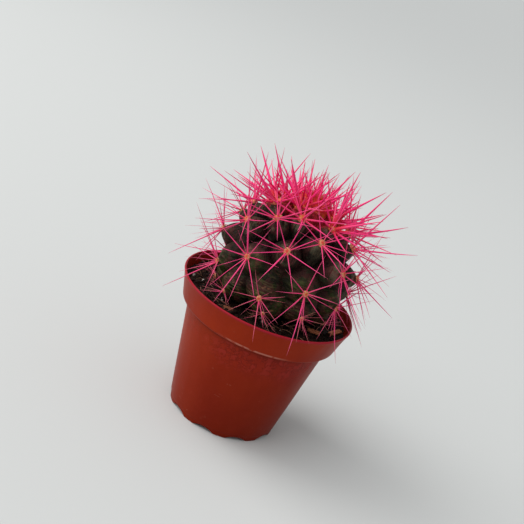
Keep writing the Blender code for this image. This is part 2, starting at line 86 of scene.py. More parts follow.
STEM_CENTRE = np.array((0.0015, 0.0, 0.0865))
STEM_LEAN = math.radians(17.0)
STEM_RADIUS = 0.0335
STEM_UPPER = 0.0285
STEM_LOWER = 0.0400
CROWN_DIP = 0.0035
CROWN_DIP_WIDTH = math.radians(26.0)
CORE_SHARE = 0.76
STEM_FOOT = STEM_CENTRE[:2] - (0.0, (STEM_CENTRE[2] - SOIL_LEVEL) * math.tan(STEM_LEAN))

# Turn from the world to the plant's frame, +Z along its axis, as rows.
LEAN = np.array((
    (1.0, 0.0, 0.0),
    (0.0, math.cos(STEM_LEAN), -math.sin(STEM_LEAN)),
    (0.0, math.sin(STEM_LEAN), math.cos(STEM_LEAN)),
))

# Areoles are counted from the crown down. Departures are in degrees of turn and drop.
AREOLE_TURN = 137.7
AREOLE_COUNT = 55
FRONT_AREOLE = 33
FRONT_TURN = -2.0
CROWN_START = 0.4
EQUATOR_AREOLE = 36.6
LOWER_CROWDING = 0.9
DEPARTURES = {
    15: (-4, 9), 20: (-10, 0), 22: (3, -1), 23: (5, 2), 25: (0, -2), 28: (-8, -3), 30: (6, -2),
    31: (1, 8), 33: (-1, 2), 35: (0, 1), 36: (-2, -7), 38: (3, 2), 41: (4, 1), 43: (-3, 0),
    44: (-8, -4), 46: (2, 4), 49: (-7, 0), 51: (-9, 1), 54: (-12, -1),
}
JITTER = 2.0
LOWEST_AREOLE = 0.0030

TUBERCLE_SLOPES = ((27, 1.45), (44, 0.62))
TUBERCLE_ROUNDING = 0.0036
TUBERCLE_HANG = 0.0012
VALLEY_ROUNDING = 0.0006

# Stout spines, as curves over their areole's count: how many, degrees from its normal and
# length, and the middle ones' lean and length as shares of those of the outer ones.
SPINE_COUNTS = ((0, 4), (4, 6), (12, 8), (45, 8), (47, 5), (55, 4))
SPINE_SPREADS = ((0, 24), (4, 40), (12, 58), (20, 64), (32, 68), (45, 68), (47, 66), (55, 60))
SPINE_LENGTHS = (
    (0, 0.0145), (4, 0.0210), (12, 0.0245), (20, 0.0255),
    (32, 0.0230), (45, 0.0190), (47, 0.0130), (55, 0.0105),
)
MIDDLE_LEANS = ((20, 0.3), (32, 0.5), (45, 0.75), (47, 0.75), (55, 0.3))
MIDDLE_LENGTHS = ((20, 1.0), (32, 1.05), (45, 1.25), (47, 1.2), (55, 1.0))
FULL_STAR = 8
SPINE_RADIUS = 0.00058
SPINE_SUNK = 0.0018
SPINE_RING = 0.0010
SPINE_CLEARANCE = 0.0011
SPINE_ROOM = 0.00015
ROOT_REACH = 0.0035
SPINE_TRIES = 12
LIFT_STEP = math.radians(4.0)
LIFT_LIMIT = 22

# Slivers of bark, as x, y, turn in degrees, length and width.
CHIPS = (
    (0.0254, -0.0134, 9.0, 0.0064, 0.0028),
    (0.0353, -0.0046, 60.0, 0.0108, 0.0027),
    (-0.0147, -0.0270, 11.0, 0.0048, 0.0026),
    (-0.0205, 0.0240, 140.0, 0.0080, 0.0034),
    (0.0190, 0.0290, -35.0, 0.0062, 0.0030),
)
CHIP_HEIGHT = 0.0015
CHIP_ROOM = 0.0015

# Pot: steps along its inside, small corners as (inward, up) or (share across, drop), and
# the heights of the drains' cutter.
POT_COLUMNS = 288
INSIDE_STEPS = (3, 8, 2, 24, 3, 3, 3, 8)
HOLLOW_RADIUS = 0.0009
HOLLOW_DROP = 0.0008
FOOT_STEP = ((0.0, 0.0), (0.125, 0.0002), (0.875, 0.0007), (1.0, 0.0010))
SKIRT_CORNER = ((0.0, 0.00025), (0.0001, 0.00006), (0.0003, 0.0))
PAD_CORNER = 0.0002
SAG_DEPTH = 0.00012
SAG_TURN = 0.8
DRAIN_CUT = (-0.002, 0.001, 0.006)

# Stem: its skin's grid, and the reach, width and depth of what is cut into it.
STEM_ROWS = 230
STEM_COLUMNS = 400
STEM_SUNK = 0.0060
TUBERCLE_SPACING = 0.008
VALLEY_REACH = 0.30
VALLEY_DEPTH = 0.0060
FURROW_WIDTH = 0.0016
FURROW_DEPTH = 0.0022
PLEAT_WIDTH = 0.0024
PLEAT_DEPTH = 0.00044
FOLD_WIDTH = 0.0034
FOLD_DEPTH = 0.00042

# Spines: how many thin ones, root radii, and the shares of their width, wear and young dye,
# as curves over their areole's count.
OUTER, MIDDLE, THIN = range(3)
THIN_COUNTS = ((14, 1), (22, 3), (45, 3), (47, 5))
STOUT_BASE = (0.00028, 0.00035)
THIN_BASE = (0.00014, 0.00019)
MIDDLE_SHARE = 1.30
BASE_SHARES = (
    (0, 1.2), (4, 1.8), (9, 2.2), (15, 2.1), (22, 1.30),
    (26, 0.92), (40, 0.82), (45, 0.80), (47, 0.60), (55, 0.5),
)
WORN_SHARES = ((38, 0.0), (43, 0.35), (47, 0.80), (49, 1.0))
YOUNG_SHARES = ((8, 1.0), (15, 0.7), (22, 0.0))
SPINE_SIDES = 7
SPINE_RINGS = 9
SPINE_BOW = 0.022
SPINE_TAPER = 0.65
ROOT_SWELLING = 0.35
TIP_SHARE = 0.08

# Wool: half sizes of a cushion, across, up and out, and its size and its dye as curves over
# the areole's count.
CROWN_AREOLES = 3
CUSHION_HALF = (0.00155, 0.00205, 0.00095)
CUSHION_SIZES = (
    (3, 1.25), (9, 1.60), (17, 1.45), (26, 1.05), (36, 0.92), (44, 0.78), (54, 0.60),
)
CUSHION_DYES = ((10, 1.0), (20, 0.75), (26, 0.35), (34, 0.0))
CUSHION_FIBRES = 46
CUSHION_FIBRE_LENGTHS = (0.0006, 0.0013)
CUSHION_FIBRE_RADIUS = 0.00005
CROWN_HALF = (0.0097, 0.0097, 0.0069258)
CROWN_FIBRES = 900
CROWN_FIBRE_LENGTHS = (0.0015, 0.0042)
CROWN_FIBRE_RADIUS = 0.00006
WOOL_RINGS = 5
WOOL_SIDES = 3

# Soil: sizes of its noises, crumbs as count, least and most half size and fineness, and pale
# grains and tufts of dried spines as x, y and size.
SOIL_ROWS = 120
SOIL_COLUMNS = 320
SOIL_EDGE_DROP = 0.0006
CLOD_SIZE = 0.0065
CRUMB_SIZE = 0.0022
GRAIN_SIZE = 0.0009
STEM_FOOT_RADIUS = 0.0180
CRUMBS = ((2600, 0.00022, 0.00055, 1), (260, 0.0006, 0.00135, 2))
CRUMB_ROOM = 0.0015
GRAINS = (
    (0.0206, 0.0058, 0.0009), (0.0233, -0.0043, 0.0010), (-0.0311, -0.0084, 0.0009),
    (0.0005, -0.0215, 0.0008), (0.0019, -0.0249, 0.0009), (-0.0189, -0.0203, 0.0007),
)
MORE_GRAINS = 20
GRAIN_HALF = (0.00035, 0.00080)
TUFTS = (
    (-0.0010, -0.0222, 0.0062), (0.0142, -0.0178, 0.0066), (0.0272, 0.0052, 0.0060),
    (-0.0262, -0.0020, 0.0060), (0.0046, -0.0262, 0.0050), (-0.0120, 0.0290, 0.0060),
    (0.0080, 0.0300, 0.0060),
)
TUFT_FIBRES = 11
TUFT_RADII = (0.00010, 0.00016)
HAIRS = 300
HAIR_LENGTHS = (0.0025, 0.0095)
HAIR_RADII = (0.00006, 0.00018)
HAIR_RISE = (0.0001, 0.0011)
HAIR_SLANT = (-0.0008, 0.0016)
HAIR_CLEARANCE = 0.00015
FIBRE_RINGS = 8
FIBRE_SIDES = 4
FIBRE_ROOM = 0.0010
CHIP_TONES = (0.30, 0.15, 1.00, 0.35, 0.55)
SLIVER_ROWS = 26
SLIVER_COLUMNS = 48

# Noise: values in its table, and the primes that spread a cell's place over them.
NOISE_VALUES = 4096
NOISE_PRIMES = np.array((73856093, 19349663, 83492791))

# Floor, window and camera, with the point that the camera looks at and that point's pixel.
FLOOR_HALF = 40.0
WINDOW_PLACE = Vector((-1.20, 0.15, 1.10))
WINDOW_AIM = Vector((-0.20, 0.10, 0.0))
IMAGE_SIZE = 524
FOCAL_PIXELS = 960.5
CAMERA_ELEVATION = math.radians(25.07)
CAMERA_ROLL = math.radians(22.94)
CAMERA_DISTANCE = 0.4675
AIM_POINT = Vector((0.0, 0.0, 0.03825))
AIM_PIXEL = (248.75, 343.20)
SENSOR_WIDTH = 36.0


# Numbers over a surface


def lattice_noise(points, size, seed):
    """Smooth noise from -1 to 1 at each point.

    Random values sit on a cubic lattice of the given size, and a point blends the eight
    round it, weighted by the smooth step of its place between them.
    """
    table = np.random.default_rng(seed).uniform(-1.0, 1.0, NOISE_VALUES)
    scaled = np.asarray(points) / size
    cell = np.floor(scaled).astype(np.int64)
    weight = smooth_step(scaled - cell, 0, 1)
    total = np.zeros(scaled.shape[:-1])
    for corner in range(8):
        step = np.array((corner & 1, corner >> 1 & 1, corner >> 2 & 1))
        key = (cell + step) @ NOISE_PRIMES
        share = np.where(step, weight, 1 - weight).prod(axis=-1)
        total += share * table[key % NOISE_VALUES]
    return total


def layered_noise(points, size, seed, layers=3):
    """Sum of lattice noises, each of half the size and half the height of the one before."""
    return sum(
        lattice_noise(points, size / 2**layer, seed + layer) / 2**layer for layer in range(layers)
    )


def unit(vectors):
    """Vectors of length one along the last axis."""
    return vectors / np.maximum(np.linalg.norm(vectors, axis=-1, keepdims=True), 1e-12)


def smooth_step(values, low, high):
    """0 below low, 1 above high, and 3t^2 - 2t^3 between."""
    share = np.clip((np.asarray(values) - low) / (high - low), 0, 1)
    return share * share * (3 - 2 * share)


def value_at(curve, index):
    """A curve's value, straight between its points, which are (index, value)."""
    return np.interp(index, *zip(*curve))


def across_ways(ways, rng):
    """A random direction across each way."""
    return unit(np.cross(ways, rng.normal(size=ways.shape)))


def disc_spots(count, rng, least=0.0):
    """Random spots on a disc of radius one, as x, y and their distance from its centre."""
    turn = rng.uniform(0, 2 * np.pi, count)
    out = np.sqrt(rng.uniform(least, 1, count))
    return out * np.cos(turn), out * np.sin(turn), out


# Meshes from arrays


def new_piece(name, points, quads, triangles=(), finish=None, traits=None):
    """A smooth-shaded object at the origin, from arrays of points, quads and triangles.

    The faces are turned so that the volume they enclose, the sum of their corners' triple
    products, is positive. Traits are numbers for each point, which the finish can read.
    """
    points = np.asarray(points, float).reshape(-1, 3)
    quads = np.asarray(quads, np.int64).reshape(-1, 4)
    triangles = np.asarray(triangles, np.int64).reshape(-1, 3)
    fans = np.concatenate((quads[:, [0, 1, 2]], quads[:, [0, 2, 3]], triangles))
    a, b, c = (points[fans[:, corner]] for corner in range(3))
    if np.einsum("ij,ij->i", a, np.cross(b, c)).sum() < 0:
        quads, triangles = quads[:, ::-1], triangles[:, ::-1]
    corners = np.concatenate((quads.ravel(), triangles.ravel()))
    sizes = np.concatenate((np.full(len(quads), 4), np.full(len(triangles), 3)))
    mesh = bpy.data.meshes.new(name)
    mesh.vertices.add(len(points))
    mesh.vertices.foreach_set("co", points.ravel())
    mesh.loops.add(len(corners))
    mesh.loops.foreach_set("vertex_index", corners)
    mesh.polygons.add(len(sizes))
    mesh.polygons.foreach_set("loop_start", np.cumsum(sizes) - sizes)
    mesh.update(calc_edges=True)
    mesh.validate()
    mesh.shade_smooth()
    for trait, values in (traits or {}).items():
        layer = mesh.attributes.new(trait, "FLOAT", "POINT")
        layer.data.foreach_set("value", np.asarray(values, float).ravel())
    if finish is not None:
        mesh.materials.append(finish)
    return add_object(name, mesh)


def add_object(name, data):
    """A new object in the scene, at the origin."""
    made = bpy.data.objects.new(name, data)
    bpy.context.scene.collection.objects.link(made)
    return made


def copies(faces, count, stride):
    """A shape's faces for many copies of it, whose points follow on from one another."""
    return (faces + stride * np.arange(count)[:, None, None]).reshape(-1, faces.shape[1])


def closed_grid(rows, columns):
    """Faces of a closed skin: a pole, rows of points round it, and a second pole.

    The points come in the order first pole, row after row, last pole.
    """
    here = np.arange(columns)
    after = (here + 1) % columns
    near = 1 + columns * np.arange(rows - 1)[:, None]
    quads = np.stack(
        (near + here, near + columns + here, near + columns + after, near + after), axis=-1
    )
    last = 1 + rows * columns
    first_fan = np.stack((np.zeros(columns, int), 1 + here, 1 + after), axis=-1)
    last_fan = np.stack((np.full(columns, last), last - columns + after, last - columns + here), -1)
    return quads.reshape(-1, 4), np.concatenate((first_fan, last_fan))


def with_poles(first, grid, last):
    """Points of a closed skin in closed_grid's order, from its poles and its rows."""
    return np.concatenate(([first], np.asarray(grid).reshape(-1, 3), [last]))


def turned_skin(radii, heights, columns):
    """Rows of points round +Z from radii and heights, each given by row, or by row and turn."""
    turns = 2 * np.pi * np.arange(columns) / columns
    radii = np.broadcast_to(np.asarray(radii, float).reshape(len(radii), -1), (len(radii), columns))
    heights = np.broadcast_to(np.asarray(heights, float).reshape(len(radii), -1), radii.shape)
    return np.stack((radii * np.cos(turns), radii * np.sin(turns), heights), axis=-1)


def tube_bundle(paths, radii, sides):
    """Round tubes along many paths, each of them closed by a point at both ends.

    Paths are (tube, ring, 3) and radii (tube, ring). A ring's two cross directions are the
    path's own direction crossed with a fixed one, and that again with the direction.
    """
    count, rings, _ = paths.shape
    along = unit(np.gradient(paths, axis=1))
    general = unit(along.mean(axis=1))
    fixed = np.where(np.abs(general[:, 2:]) > 0.9, (1.0, 0.0, 0.0), UP)
    side = unit(np.cross(along, fixed[:, None]))
    other = np.cross(along, side)
    turns = 2 * np.pi * np.arange(sides) / sides
    ring = side[:, :, None] * np.cos(turns)[:, None] + other[:, :, None] * np.sin(turns)[:, None]
    skin = (paths[:, :, None] + ring * radii[:, :, None, None]).reshape(count, rings * sides, 3)
    points = np.concatenate((paths[:, :1], skin, paths[:, -1:]), axis=1)
    quads, triangles = (copies(faces, count, points.shape[1]) for faces in closed_grid(rings, sides))
    return points.reshape(-1, 3), quads, triangles


def per_tube(values, rings, sides):
    """One number for each tube, repeated for all of its points."""
    return np.repeat(values, rings * sides + 2)


def per_ring(values, count, sides):
    """One number for each ring along a tube, repeated for all of the points of many tubes."""
    row = np.concatenate((values[:1], np.repeat(values, sides), values[-1:]))
    return np.tile(row, count)


def ball(fineness):
    """Points and triangles of a unit ball with even faces."""
    work = bmesh.new()
    bmesh.ops.create_icosphere(work, subdivisions=fineness, radius=1.0)
    points = np.array([vertex.co[:] for vertex in work.verts])
    triangles = np.array([[vertex.index for vertex in face.verts] for face in work.faces])
    work.free()
    return points, triangles


def lumps(centres, sizes, fineness, roughness, rng):
    """Broken lumps: balls with a random height for each point, stretched and turned at random.

    Sizes are (lump, 3) half lengths. A point's distance is 1 plus roughness times a random
    number from -1 to 1.
    """
    shape, triangles = ball(fineness)
    count = len(centres)
    bumpy = shape * (1 + roughness * rng.uniform(-1, 1, (count, len(shape), 1)))
    axes = np.linalg.qr(rng.normal(size=(count, 3, 3)))[0]
    axes *= np.sign(np.linalg.det(axes))[:, None, None]
    points = np.einsum("nij,nkj->nki", axes, bumpy * sizes[:, None]) + centres[:, None]
    return points.reshape(-1, 3), copies(triangles, count, len(shape))


def cut(piece, cutter):
    """Take a cutter out of a piece with an exact Boolean, keep the result, and drop the cutter."""
    boolean = piece.modifiers.new("cut", "BOOLEAN")
    boolean.operation = "DIFFERENCE"
    boolean.solver = "EXACT"
    boolean.object = cutter
    graph = bpy.context.evaluated_depsgraph_get()
    result = bpy.data.meshes.new_from_object(piece.evaluated_get(graph))
    piece.modifiers.clear()
    piece.data = result
    bpy.data.objects.remove(cutter, do_unlink=True)


# Shader maths


class Value:
    """A number that varies over a surface, so that sums on it read as sums."""

    def __init__(self, socket):
        self.socket = socket

    def maths(self, operation, first, second):
        """A Math node on two values, either of which may be a plain number."""
        tree = self.socket.id_data
        node = tree.nodes.new("ShaderNodeMath")
        node.operation = operation
        for place, value in zip(node.inputs, (first, second)):
            if isinstance(value, Value):
                tree.links.new(value.socket, place)
            else:
                place.default_value = value
        return Value(node.outputs[0])

    def __add__(self, other):
        return self.maths("ADD", self, other)

    __radd__ = __add__

    def __sub__(self, other):
        return self.maths("SUBTRACT", self, other)

    def __rsub__(self, other):
        return self.maths("SUBTRACT", other, self)

    def __mul__(self, other):
        return self.maths("MULTIPLY", self, other)

    __rmul__ = __mul__

    def at_least(self, other):
        """The larger of this and another value."""
        return self.maths("MAXIMUM", self, other)


class Finish:
    """A material with one Principled shader, and the nodes that feed it."""

    def __init__(self, name, **constants):
        self.material = bpy.data.materials.new(name)
        self.material.use_nodes = True
        self.tree = self.material.node_tree
        self.shader = self.tree.nodes["Principled BSDF"]
        self.set(**constants)
        self.place = self.node("TexCoord", out="Object")

    def node(self, kind, settings=None, sockets=None, out=0):
        """Add a node, with its settings first and then its sockets, and give one output."""
        made = self.tree.nodes.new("ShaderNode" + kind)
        for name, value in (settings or {}).items():
            setattr(made, name, value)
        for name, value in (sockets or {}).items():
            self.feed(made.inputs[name], value)
        return Value(made.outputs[out])

    def feed(self, socket, value):
        """Link a value to a socket, or set a constant on it."""
        if isinstance(value, Value):
            self.tree.links.new(value.socket, socket)
        elif socket.type == "RGBA":
            socket.default_value = (*value, 1.0)
        else:
            socket.default_value = value

    def set(self, **values):
        """Feed the shader's own sockets, and give the material."""
        for name, value in values.items():
            self.feed(self.shader.inputs[name.replace("_", " ")], value)
        return self.material

    def axis(self, name):
        """Place along X, Y or Z, in metres from the pot's base."""
        return self.node("SeparateXYZ", sockets={"Vector": self.place}, out=name)

    def trait(self, name):
        """A number that the mesh gives for each point."""
        return self.node("Attribute", {"attribute_name": name}, out="Fac")

    def noise(self, size, detail=3.0, roughness=0.5, stretch=(1.0, 1.0, 1.0), shift=0.0, bend=0.0):
        """Noise of a given size in metres, drawn out along an axis by its stretch."""
        spot = self.node("Mapping", sockets={
            "Vector": self.place,
            "Location": (shift, shift * 0.7, shift * 1.3),
            "Scale": tuple(1 / share for share in stretch),
        })
        return self.node("TexNoise", sockets={
            "Vector": spot, "Scale": 1 / size, "Detail": detail, "Roughness": roughness,
            "Distortion": bend,
        })

    def cells(self, size):
        """Distance to the nearest of random points, a given size apart."""
        return self.node("TexVoronoi", sockets={"Vector": self.place, "Scale": 1 / size})

    def between(self, value, low, high):
        """0 below low and 1 above high, smooth between."""
        return self.node("MapRange", {"interpolation_type": "SMOOTHSTEP"}, {
            "Value": value, "From Min": low, "From Max": high,
        })

    def band(self, value, start, full, ebb, end):
        """1 from full to ebb, and smooth down to 0 at the start and at the end."""
        return self.between(value, start, full) * (1 - self.between(value, ebb, end))

    def spots(self, size, low, high, **noise):
        """The parts of a noise that stand out: 0 where it is under low, 1 where over high."""
        return self.between(self.noise(size, **noise), low, high)

    def coats(self, colour, *layers):
        """A colour with others laid over it in turn, each as (share, colour)."""
        for share, layer in layers:
            colour = self.node(
                "Mix", {"data_type": "RGBA"}, {0: share, 6: colour, 7: layer}, out=2
            )
        return colour

    def ramp(self, value, *stops):
        """Colour that follows a value through its stops, (position, colour) from low to high."""
        made = self.node("ValToRGB", sockets={"Fac": value})
        elements = made.socket.node.color_ramp.elements
        elements.remove(elements[1])
        elements[0].position = stops[0][0]
        for position, _ in stops[1:]:
            elements.new(position)
        for element, (_, colour) in zip(elements, stops):
            element.color = (*colour, 1.0)
        return made

    def relief(self, *layers):
        """Bumps over one another, each as (height value, depth in metres)."""
        normal = None
        for value, depth in layers:
            sockets = {"Height": value, "Distance": depth, "Strength": 1.0}
            if normal is not None:
                sockets["Normal"] = normal
            normal = self.node("Bump", sockets=sockets)
        self.set(Normal=normal)


# Finishes


def terracotta_plastic():
    """Thin moulded plastic: terracotta red and satin, under water marks, dust and hair lines.

    The lip is crimson. Under the collar's ledge runs a dark line of painted shade and some dirt, and
    over it the crease carries a pale painted highlight. The body is darker lower down with painted
    shade, and lighter on its left with painted light.
    """
    finish = Finish("terracotta_plastic", Specular_IOR_Level=0.07)
    across, back, high = map(finish.axis, "XYZ")
    over_ledge = high - LEDGE_HEIGHT
    # Painted shade: the body under the collar is a little darker, and darker still towards its foot.
    body = 1 - finish.between(over_ledge, -0.0010, 0.0004)
    lower = 1 - finish.between(over_ledge, -LEDGE_HEIGHT, -0.0010)
    lip = finish.between(high, POT_HEIGHT - 0.0016, POT_HEIGHT - 0.0004)
    # Painted light: the body is lighter and warmer on its left side.
    left = 1 - finish.between(across, -0.026, 0.004)
    front = 1 - finish.between(back, -0.010, 0.000)
    broad = finish.noise(0.030, detail=2.0)
    flow = finish.noise(0.010, stretch=(1.0, 1.0, 4.0), shift=3.0)

    under_ledge = finish.band(over_ledge, -0.0190, -0.0060, -0.0025, -0.0008)
    middle = finish.between(across, -0.020, -0.006) * front
    wet = (under_ledge * (0.35 + 0.65 * middle)).at_least(0.10)
    water = finish.noise(0.0042, detail=6.0, roughness=0.72, shift=7.0)
    marks = finish.between(water, 0.49, 0.60) * wet
    rims = finish.band(water, 0.47, 0.50, 0.50, 0.54) * wet

    # Painted highlight: a pale line along the rounded crease over the ledge, on the front.
    crease = (
        finish.band(over_ledge, 0.0004, 0.0008, 0.0012, 0.0016)
        * finish.band(across, -0.016, -0.004, 0.010, 0.022) * front
        * finish.spots(0.0030, 0.30, 0.50, shift=31.0)
    )
    # Painted shade with some dirt: a dark line just under the ledge.
    grime_and_shade = finish.band(over_ledge, -0.0030, -0.0004, 0.0000, 0.0004)
    dust = (
        finish.spots(0.0016, 0.62, 0.72, detail=4.0, roughness=0.7, shift=11.0)
        * finish.spots(0.016, 0.50, 0.66, detail=2.0, shift=5.0)
    )
    hair_lines = (
        finish.spots(0.0011, 0.68, 0.74, detail=2.0, stretch=(6.0, 6.0, 1.0), shift=17.0, bend=1.4)
        * finish.spots(0.012, 0.56, 0.66, shift=19.0)
    )
    colour = finish.coats(
        finish.ramp(
            broad * 0.6 + flow * 0.4,
            (0.32, (0.215, 0.0115, 0.0018)),
            (0.68, (0.290, 0.0230, 0.0036)),
        ),
        # Painted shade on the body, darkest towards the foot.
        (lower * 0.50, (0.110, 0.0045, 0.0008)),
        (body * 0.12, (0.110, 0.0060, 0.0012)),
        # Painted light on the body's left side.
        (body * left * 0.25, (0.300, 0.0300, 0.0045)),
        (lip * 0.75, (0.330, 0.0100, 0.0300)),
        (under_ledge * middle * 0.30, (0.270, 0.0140, 0.0140)),
        (marks * 0.55, (0.300, 0.0250, 0.0190)),
        (rims * 0.55, (0.080, 0.0040, 0.0014)),
        # Painted highlight along the crease.
        (crease * 0.50, (0.520, 0.2500, 0.1900)),
        # Painted shade and dirt under the ledge.
        (grime_and_shade * 0.60, (0.050, 0.0040, 0.0020)),
        (dust * 0.30, (0.420, 0.2000, 0.1500)),
        (hair_lines * 0.22, (0.500, 0.2300, 0.2000)),
    )
    waves = finish.noise(0.0100, detail=1.0, stretch=(1.0, 1.0, 2.5), shift=29.0)
    grain = finish.noise(0.00045, detail=2.0, shift=23.0)
    finish.relief((waves, 0.00035), (grain, 0.000012), (marks, 0.00004))
    gloss = 0.36 + broad * 0.10 + marks * 0.14 + dust * 0.25
    return finish.set(Base_Color=colour, Roughness=gloss)


def peat():
    """Moist peat: near black with warm brown fibres and specks."""
    finish = Finish("peat", Specular_IOR_Level=0.12)
    clods = finish.noise(0.0040, detail=6.0, roughness=0.65)
    strands = finish.noise(0.0009, stretch=(3.0, 1.0, 1.0), shift=5.0, bend=1.5)
    threads = finish.between(strands, 0.60, 0.70)
    specks = finish.spots(0.0007, 0.68, 0.74, detail=2.0, shift=9.0)
    dry = finish.spots(0.0060, 0.45, 0.65, shift=13.0)
    colour = finish.coats(
        finish.ramp(clods, (0.35, (0.0016, 0.0008, 0.0006)), (0.66, (0.0180, 0.0066, 0.0038))),
        (threads * 0.50, (0.075, 0.034, 0.019)),
        (specks * 0.60, (0.130, 0.085, 0.050)),
    )
    finish.relief((clods, 0.0014), (strands, 0.0003))
    return finish.set(Base_Color=colour, Roughness=0.62 + 0.33 * dry)


def stem_skin():
    """Waxy skin: dark green, mauve where it tans, a grey painted sheen on its crests, and painted
    shade, near black, in its valleys and furrows.

    Young skin is a greyer green with painted shade in its pleats and the painted sheen, and old skin a
    purer green with scars and bands. The skin darkens towards its foot with painted shade. Round the
    crown the dye has stained it red.
    """
    finish = Finish("stem_skin", Specular_IOR_Level=0.10)
    valley, furrow, age, below = map(finish.trait, ("valley", "furrow", "age", "below"))
    old = finish.between(age, 0.58, 0.80)
    young = 1 - old
    # Painted shade: the skin darkens towards the foot of the stem.
    foot = finish.between(age, 0.69, 0.82)
    crown = 1 - finish.between(age, 0.25, 0.35)
    crest = 1 - finish.between(valley, 0.15, 0.70)
    # Painted shade, near black, in the valleys between tubercles and along the furrows.
    shade = finish.between(valley, 0.30, 0.85)
    line = finish.between(furrow, 0.10, 0.80) * (1 - old * 0.5)
    dark = (shade * 0.75).at_least(line * 0.90)

    broad = finish.noise(0.0060)
    blotch = finish.noise(0.0052, detail=4.0, roughness=0.62, shift=4.0)
    tan = finish.between(blotch - below * 0.05 - old * 0.025, 0.45, 0.52)
    deep = finish.spots(0.0030, 0.52, 0.62, shift=27.0)
    scars = (
        finish.spots(0.0012, 0.58, 0.68, stretch=(2.2, 2.2, 1.0), shift=8.0)
        * finish.spots(0.0080, 0.44, 0.56, shift=12.0) * old
    )
    pleats = finish.noise(0.0015, stretch=(1.0, 1.0, 7.0), shift=6.0, bend=0.4)
    # Painted shade in the sunk lines of the pleats on young skin.
    sunk = (1 - finish.between(pleats, 0.40, 0.49)) * young
    streaks = finish.between(pleats, 0.51, 0.60)
    # Painted sheen: pale grey-green on the crests of young skin, along the light streaks of the pleat
    # noise.
    crest_sheen = streaks * crest * young * finish.spots(0.009, 0.38, 0.56, shift=15.0)
    bands = finish.spots(0.0013, 0.52, 0.66, stretch=(6.0, 6.0, 1.0), shift=33.0, bend=0.7) * old
    speckle = finish.spots(0.0006, 0.62, 0.72, detail=2.0, shift=18.0)

    young_green = finish.ramp(
        broad,
        (0.36, (0.0250, 0.0190, 0.0105)),
        (0.50, (0.0560, 0.0460, 0.0250)),
        (0.64, (0.1000, 0.0920, 0.0560)),
    )
    old_green = finish.ramp(
        broad,
        (0.38, (0.0095, 0.0120, 0.0018)),
        (0.50, (0.0260, 0.0320, 0.0050)),
        (0.62, (0.0500, 0.0640, 0.0120)),
    )
    stain = finish.ramp(
        finish.noise(0.0011, shift=41.0),
        (0.36, (0.1900, 0.0060, 0.0100)),
        (0.62, (0.4200, 0.0170, 0.0330)),
    )
    colour = finish.coats(
        young_green,
        (old, old_green),
        (tan * 0.85, (0.1150, 0.0270, 0.0270)),
        # Painted shade towards the foot.
        (foot * 0.50, (0.0060, 0.0075, 0.0014)),
        (deep * 0.40, (0.0110, 0.0070, 0.0045)),
        (scars * 0.75, (0.1700, 0.0800, 0.0380)),
        # Painted shade in the pleats.
        (sunk * 0.70, (0.0075, 0.0045, 0.0035)),
        # Painted sheen on the crests.
        (crest_sheen * 0.75, (0.1300, 0.1180, 0.0800)),
        (bands * 0.60, (0.0850, 0.0950, 0.0280)),
        (speckle * 0.25, (0.0850, 0.0650, 0.0420)),
        # Painted shade in the valleys and furrows.
        (dark, (0.0028, 0.0012, 0.0012)),
        (crown * 0.92, stain),
    )
    wrinkles = finish.noise(0.0013, detail=4.0, stretch=(1.0, 1.0, 5.0), shift=2.0, bend=0.5)
    creases = finish.noise(0.0016, detail=4.0, stretch=(4.0, 4.0, 1.0), shift=22.0, bend=0.8)
    pores = finish.cells(0.00040)
    finish.relief((broad, 0.0010), (wrinkles * young + creases * old, 0.0015), (pores, 0.00004))
    return finish.set(Base_Color=colour, Roughness=0.34 + 0.25 * broad + 0.25 * dark)


def dyed_spine():
    """Hard spine dyed hot pink: orange at its root, duller and paler towards its tip.

    Young spines have a long red root. On the oldest the dye has worn off in patches.
    """
    finish = Finish("dyed_spine", Specular_IOR_Level=0.20)
    along, tone, worn, young = map(finish.trait, ("along", "tone", "worn", "young"))
    pale = finish.between(tone, 0.55, 1.00)
    deep = 1 - finish.between(tone, 0.00, 0.40)
    red_root = young * (1 - finish.between(along, 0.12, 0.42))
    bare = worn * finish.between(finish.noise(0.0030) + along * 0.4, 0.45, 0.85)
    colour = finish.coats(
        finish.ramp(
            along,
            (0.00, (0.700, 0.110, 0.060)),
            (0.08, (0.820, 0.030, 0.090)),
            (0.30, (0.900, 0.012, 0.180)),
            (0.72, (0.850, 0.030, 0.200)),
            (0.92, (0.640, 0.080, 0.170)),
            (1.00, (0.460, 0.120, 0.150)),
        ),
        (pale * 0.50, (0.920, 0.120, 0.240)),
        (deep * 0.35, (0.680, 0.008, 0.075)),
        ((1 - young) * 0.45, (0.830, 0.090, 0.260)),
        (red_root, (0.640, 0.022, 0.022)),
        (bare, (0.400, 0.150, 0.110)),
    )
    finish.relief((finish.noise(0.0007, detail=2.0, shift=3.0), 0.00006))
    return finish.set(Base_Color=colour, Roughness=0.34 + 0.20 * along)


def areole_wool():
    """Short felted wool: tan with pale fibre ends, red and orange where the dye has caught."""
    finish = Finish("areole_wool", Roughness=0.95, Specular_IOR_Level=0.15)
    tone, dyed = map(finish.trait, ("tone", "dyed"))
    caught = finish.between(dyed + 0.5 * finish.noise(0.0012, shift=3.0), 0.50, 1.15)
    orange = finish.spots(0.0040, 0.50, 0.62, shift=9.0)
    dye = finish.coats((0.660, 0.032, 0.034), (orange, (0.600, 0.120, 0.010)))
    colour = finish.coats(
        finish.ramp(
            tone,
            (0.0, (0.380, 0.120, 0.060)),
            (0.5, (0.640, 0.270, 0.140)),
            (1.0, (0.840, 0.520, 0.300)),
        ),
        (caught * 0.88, dye),
    )
    finish.relief((finish.noise(0.0002, detail=2.0), 0.00010))
    return finish.set(Base_Color=colour)


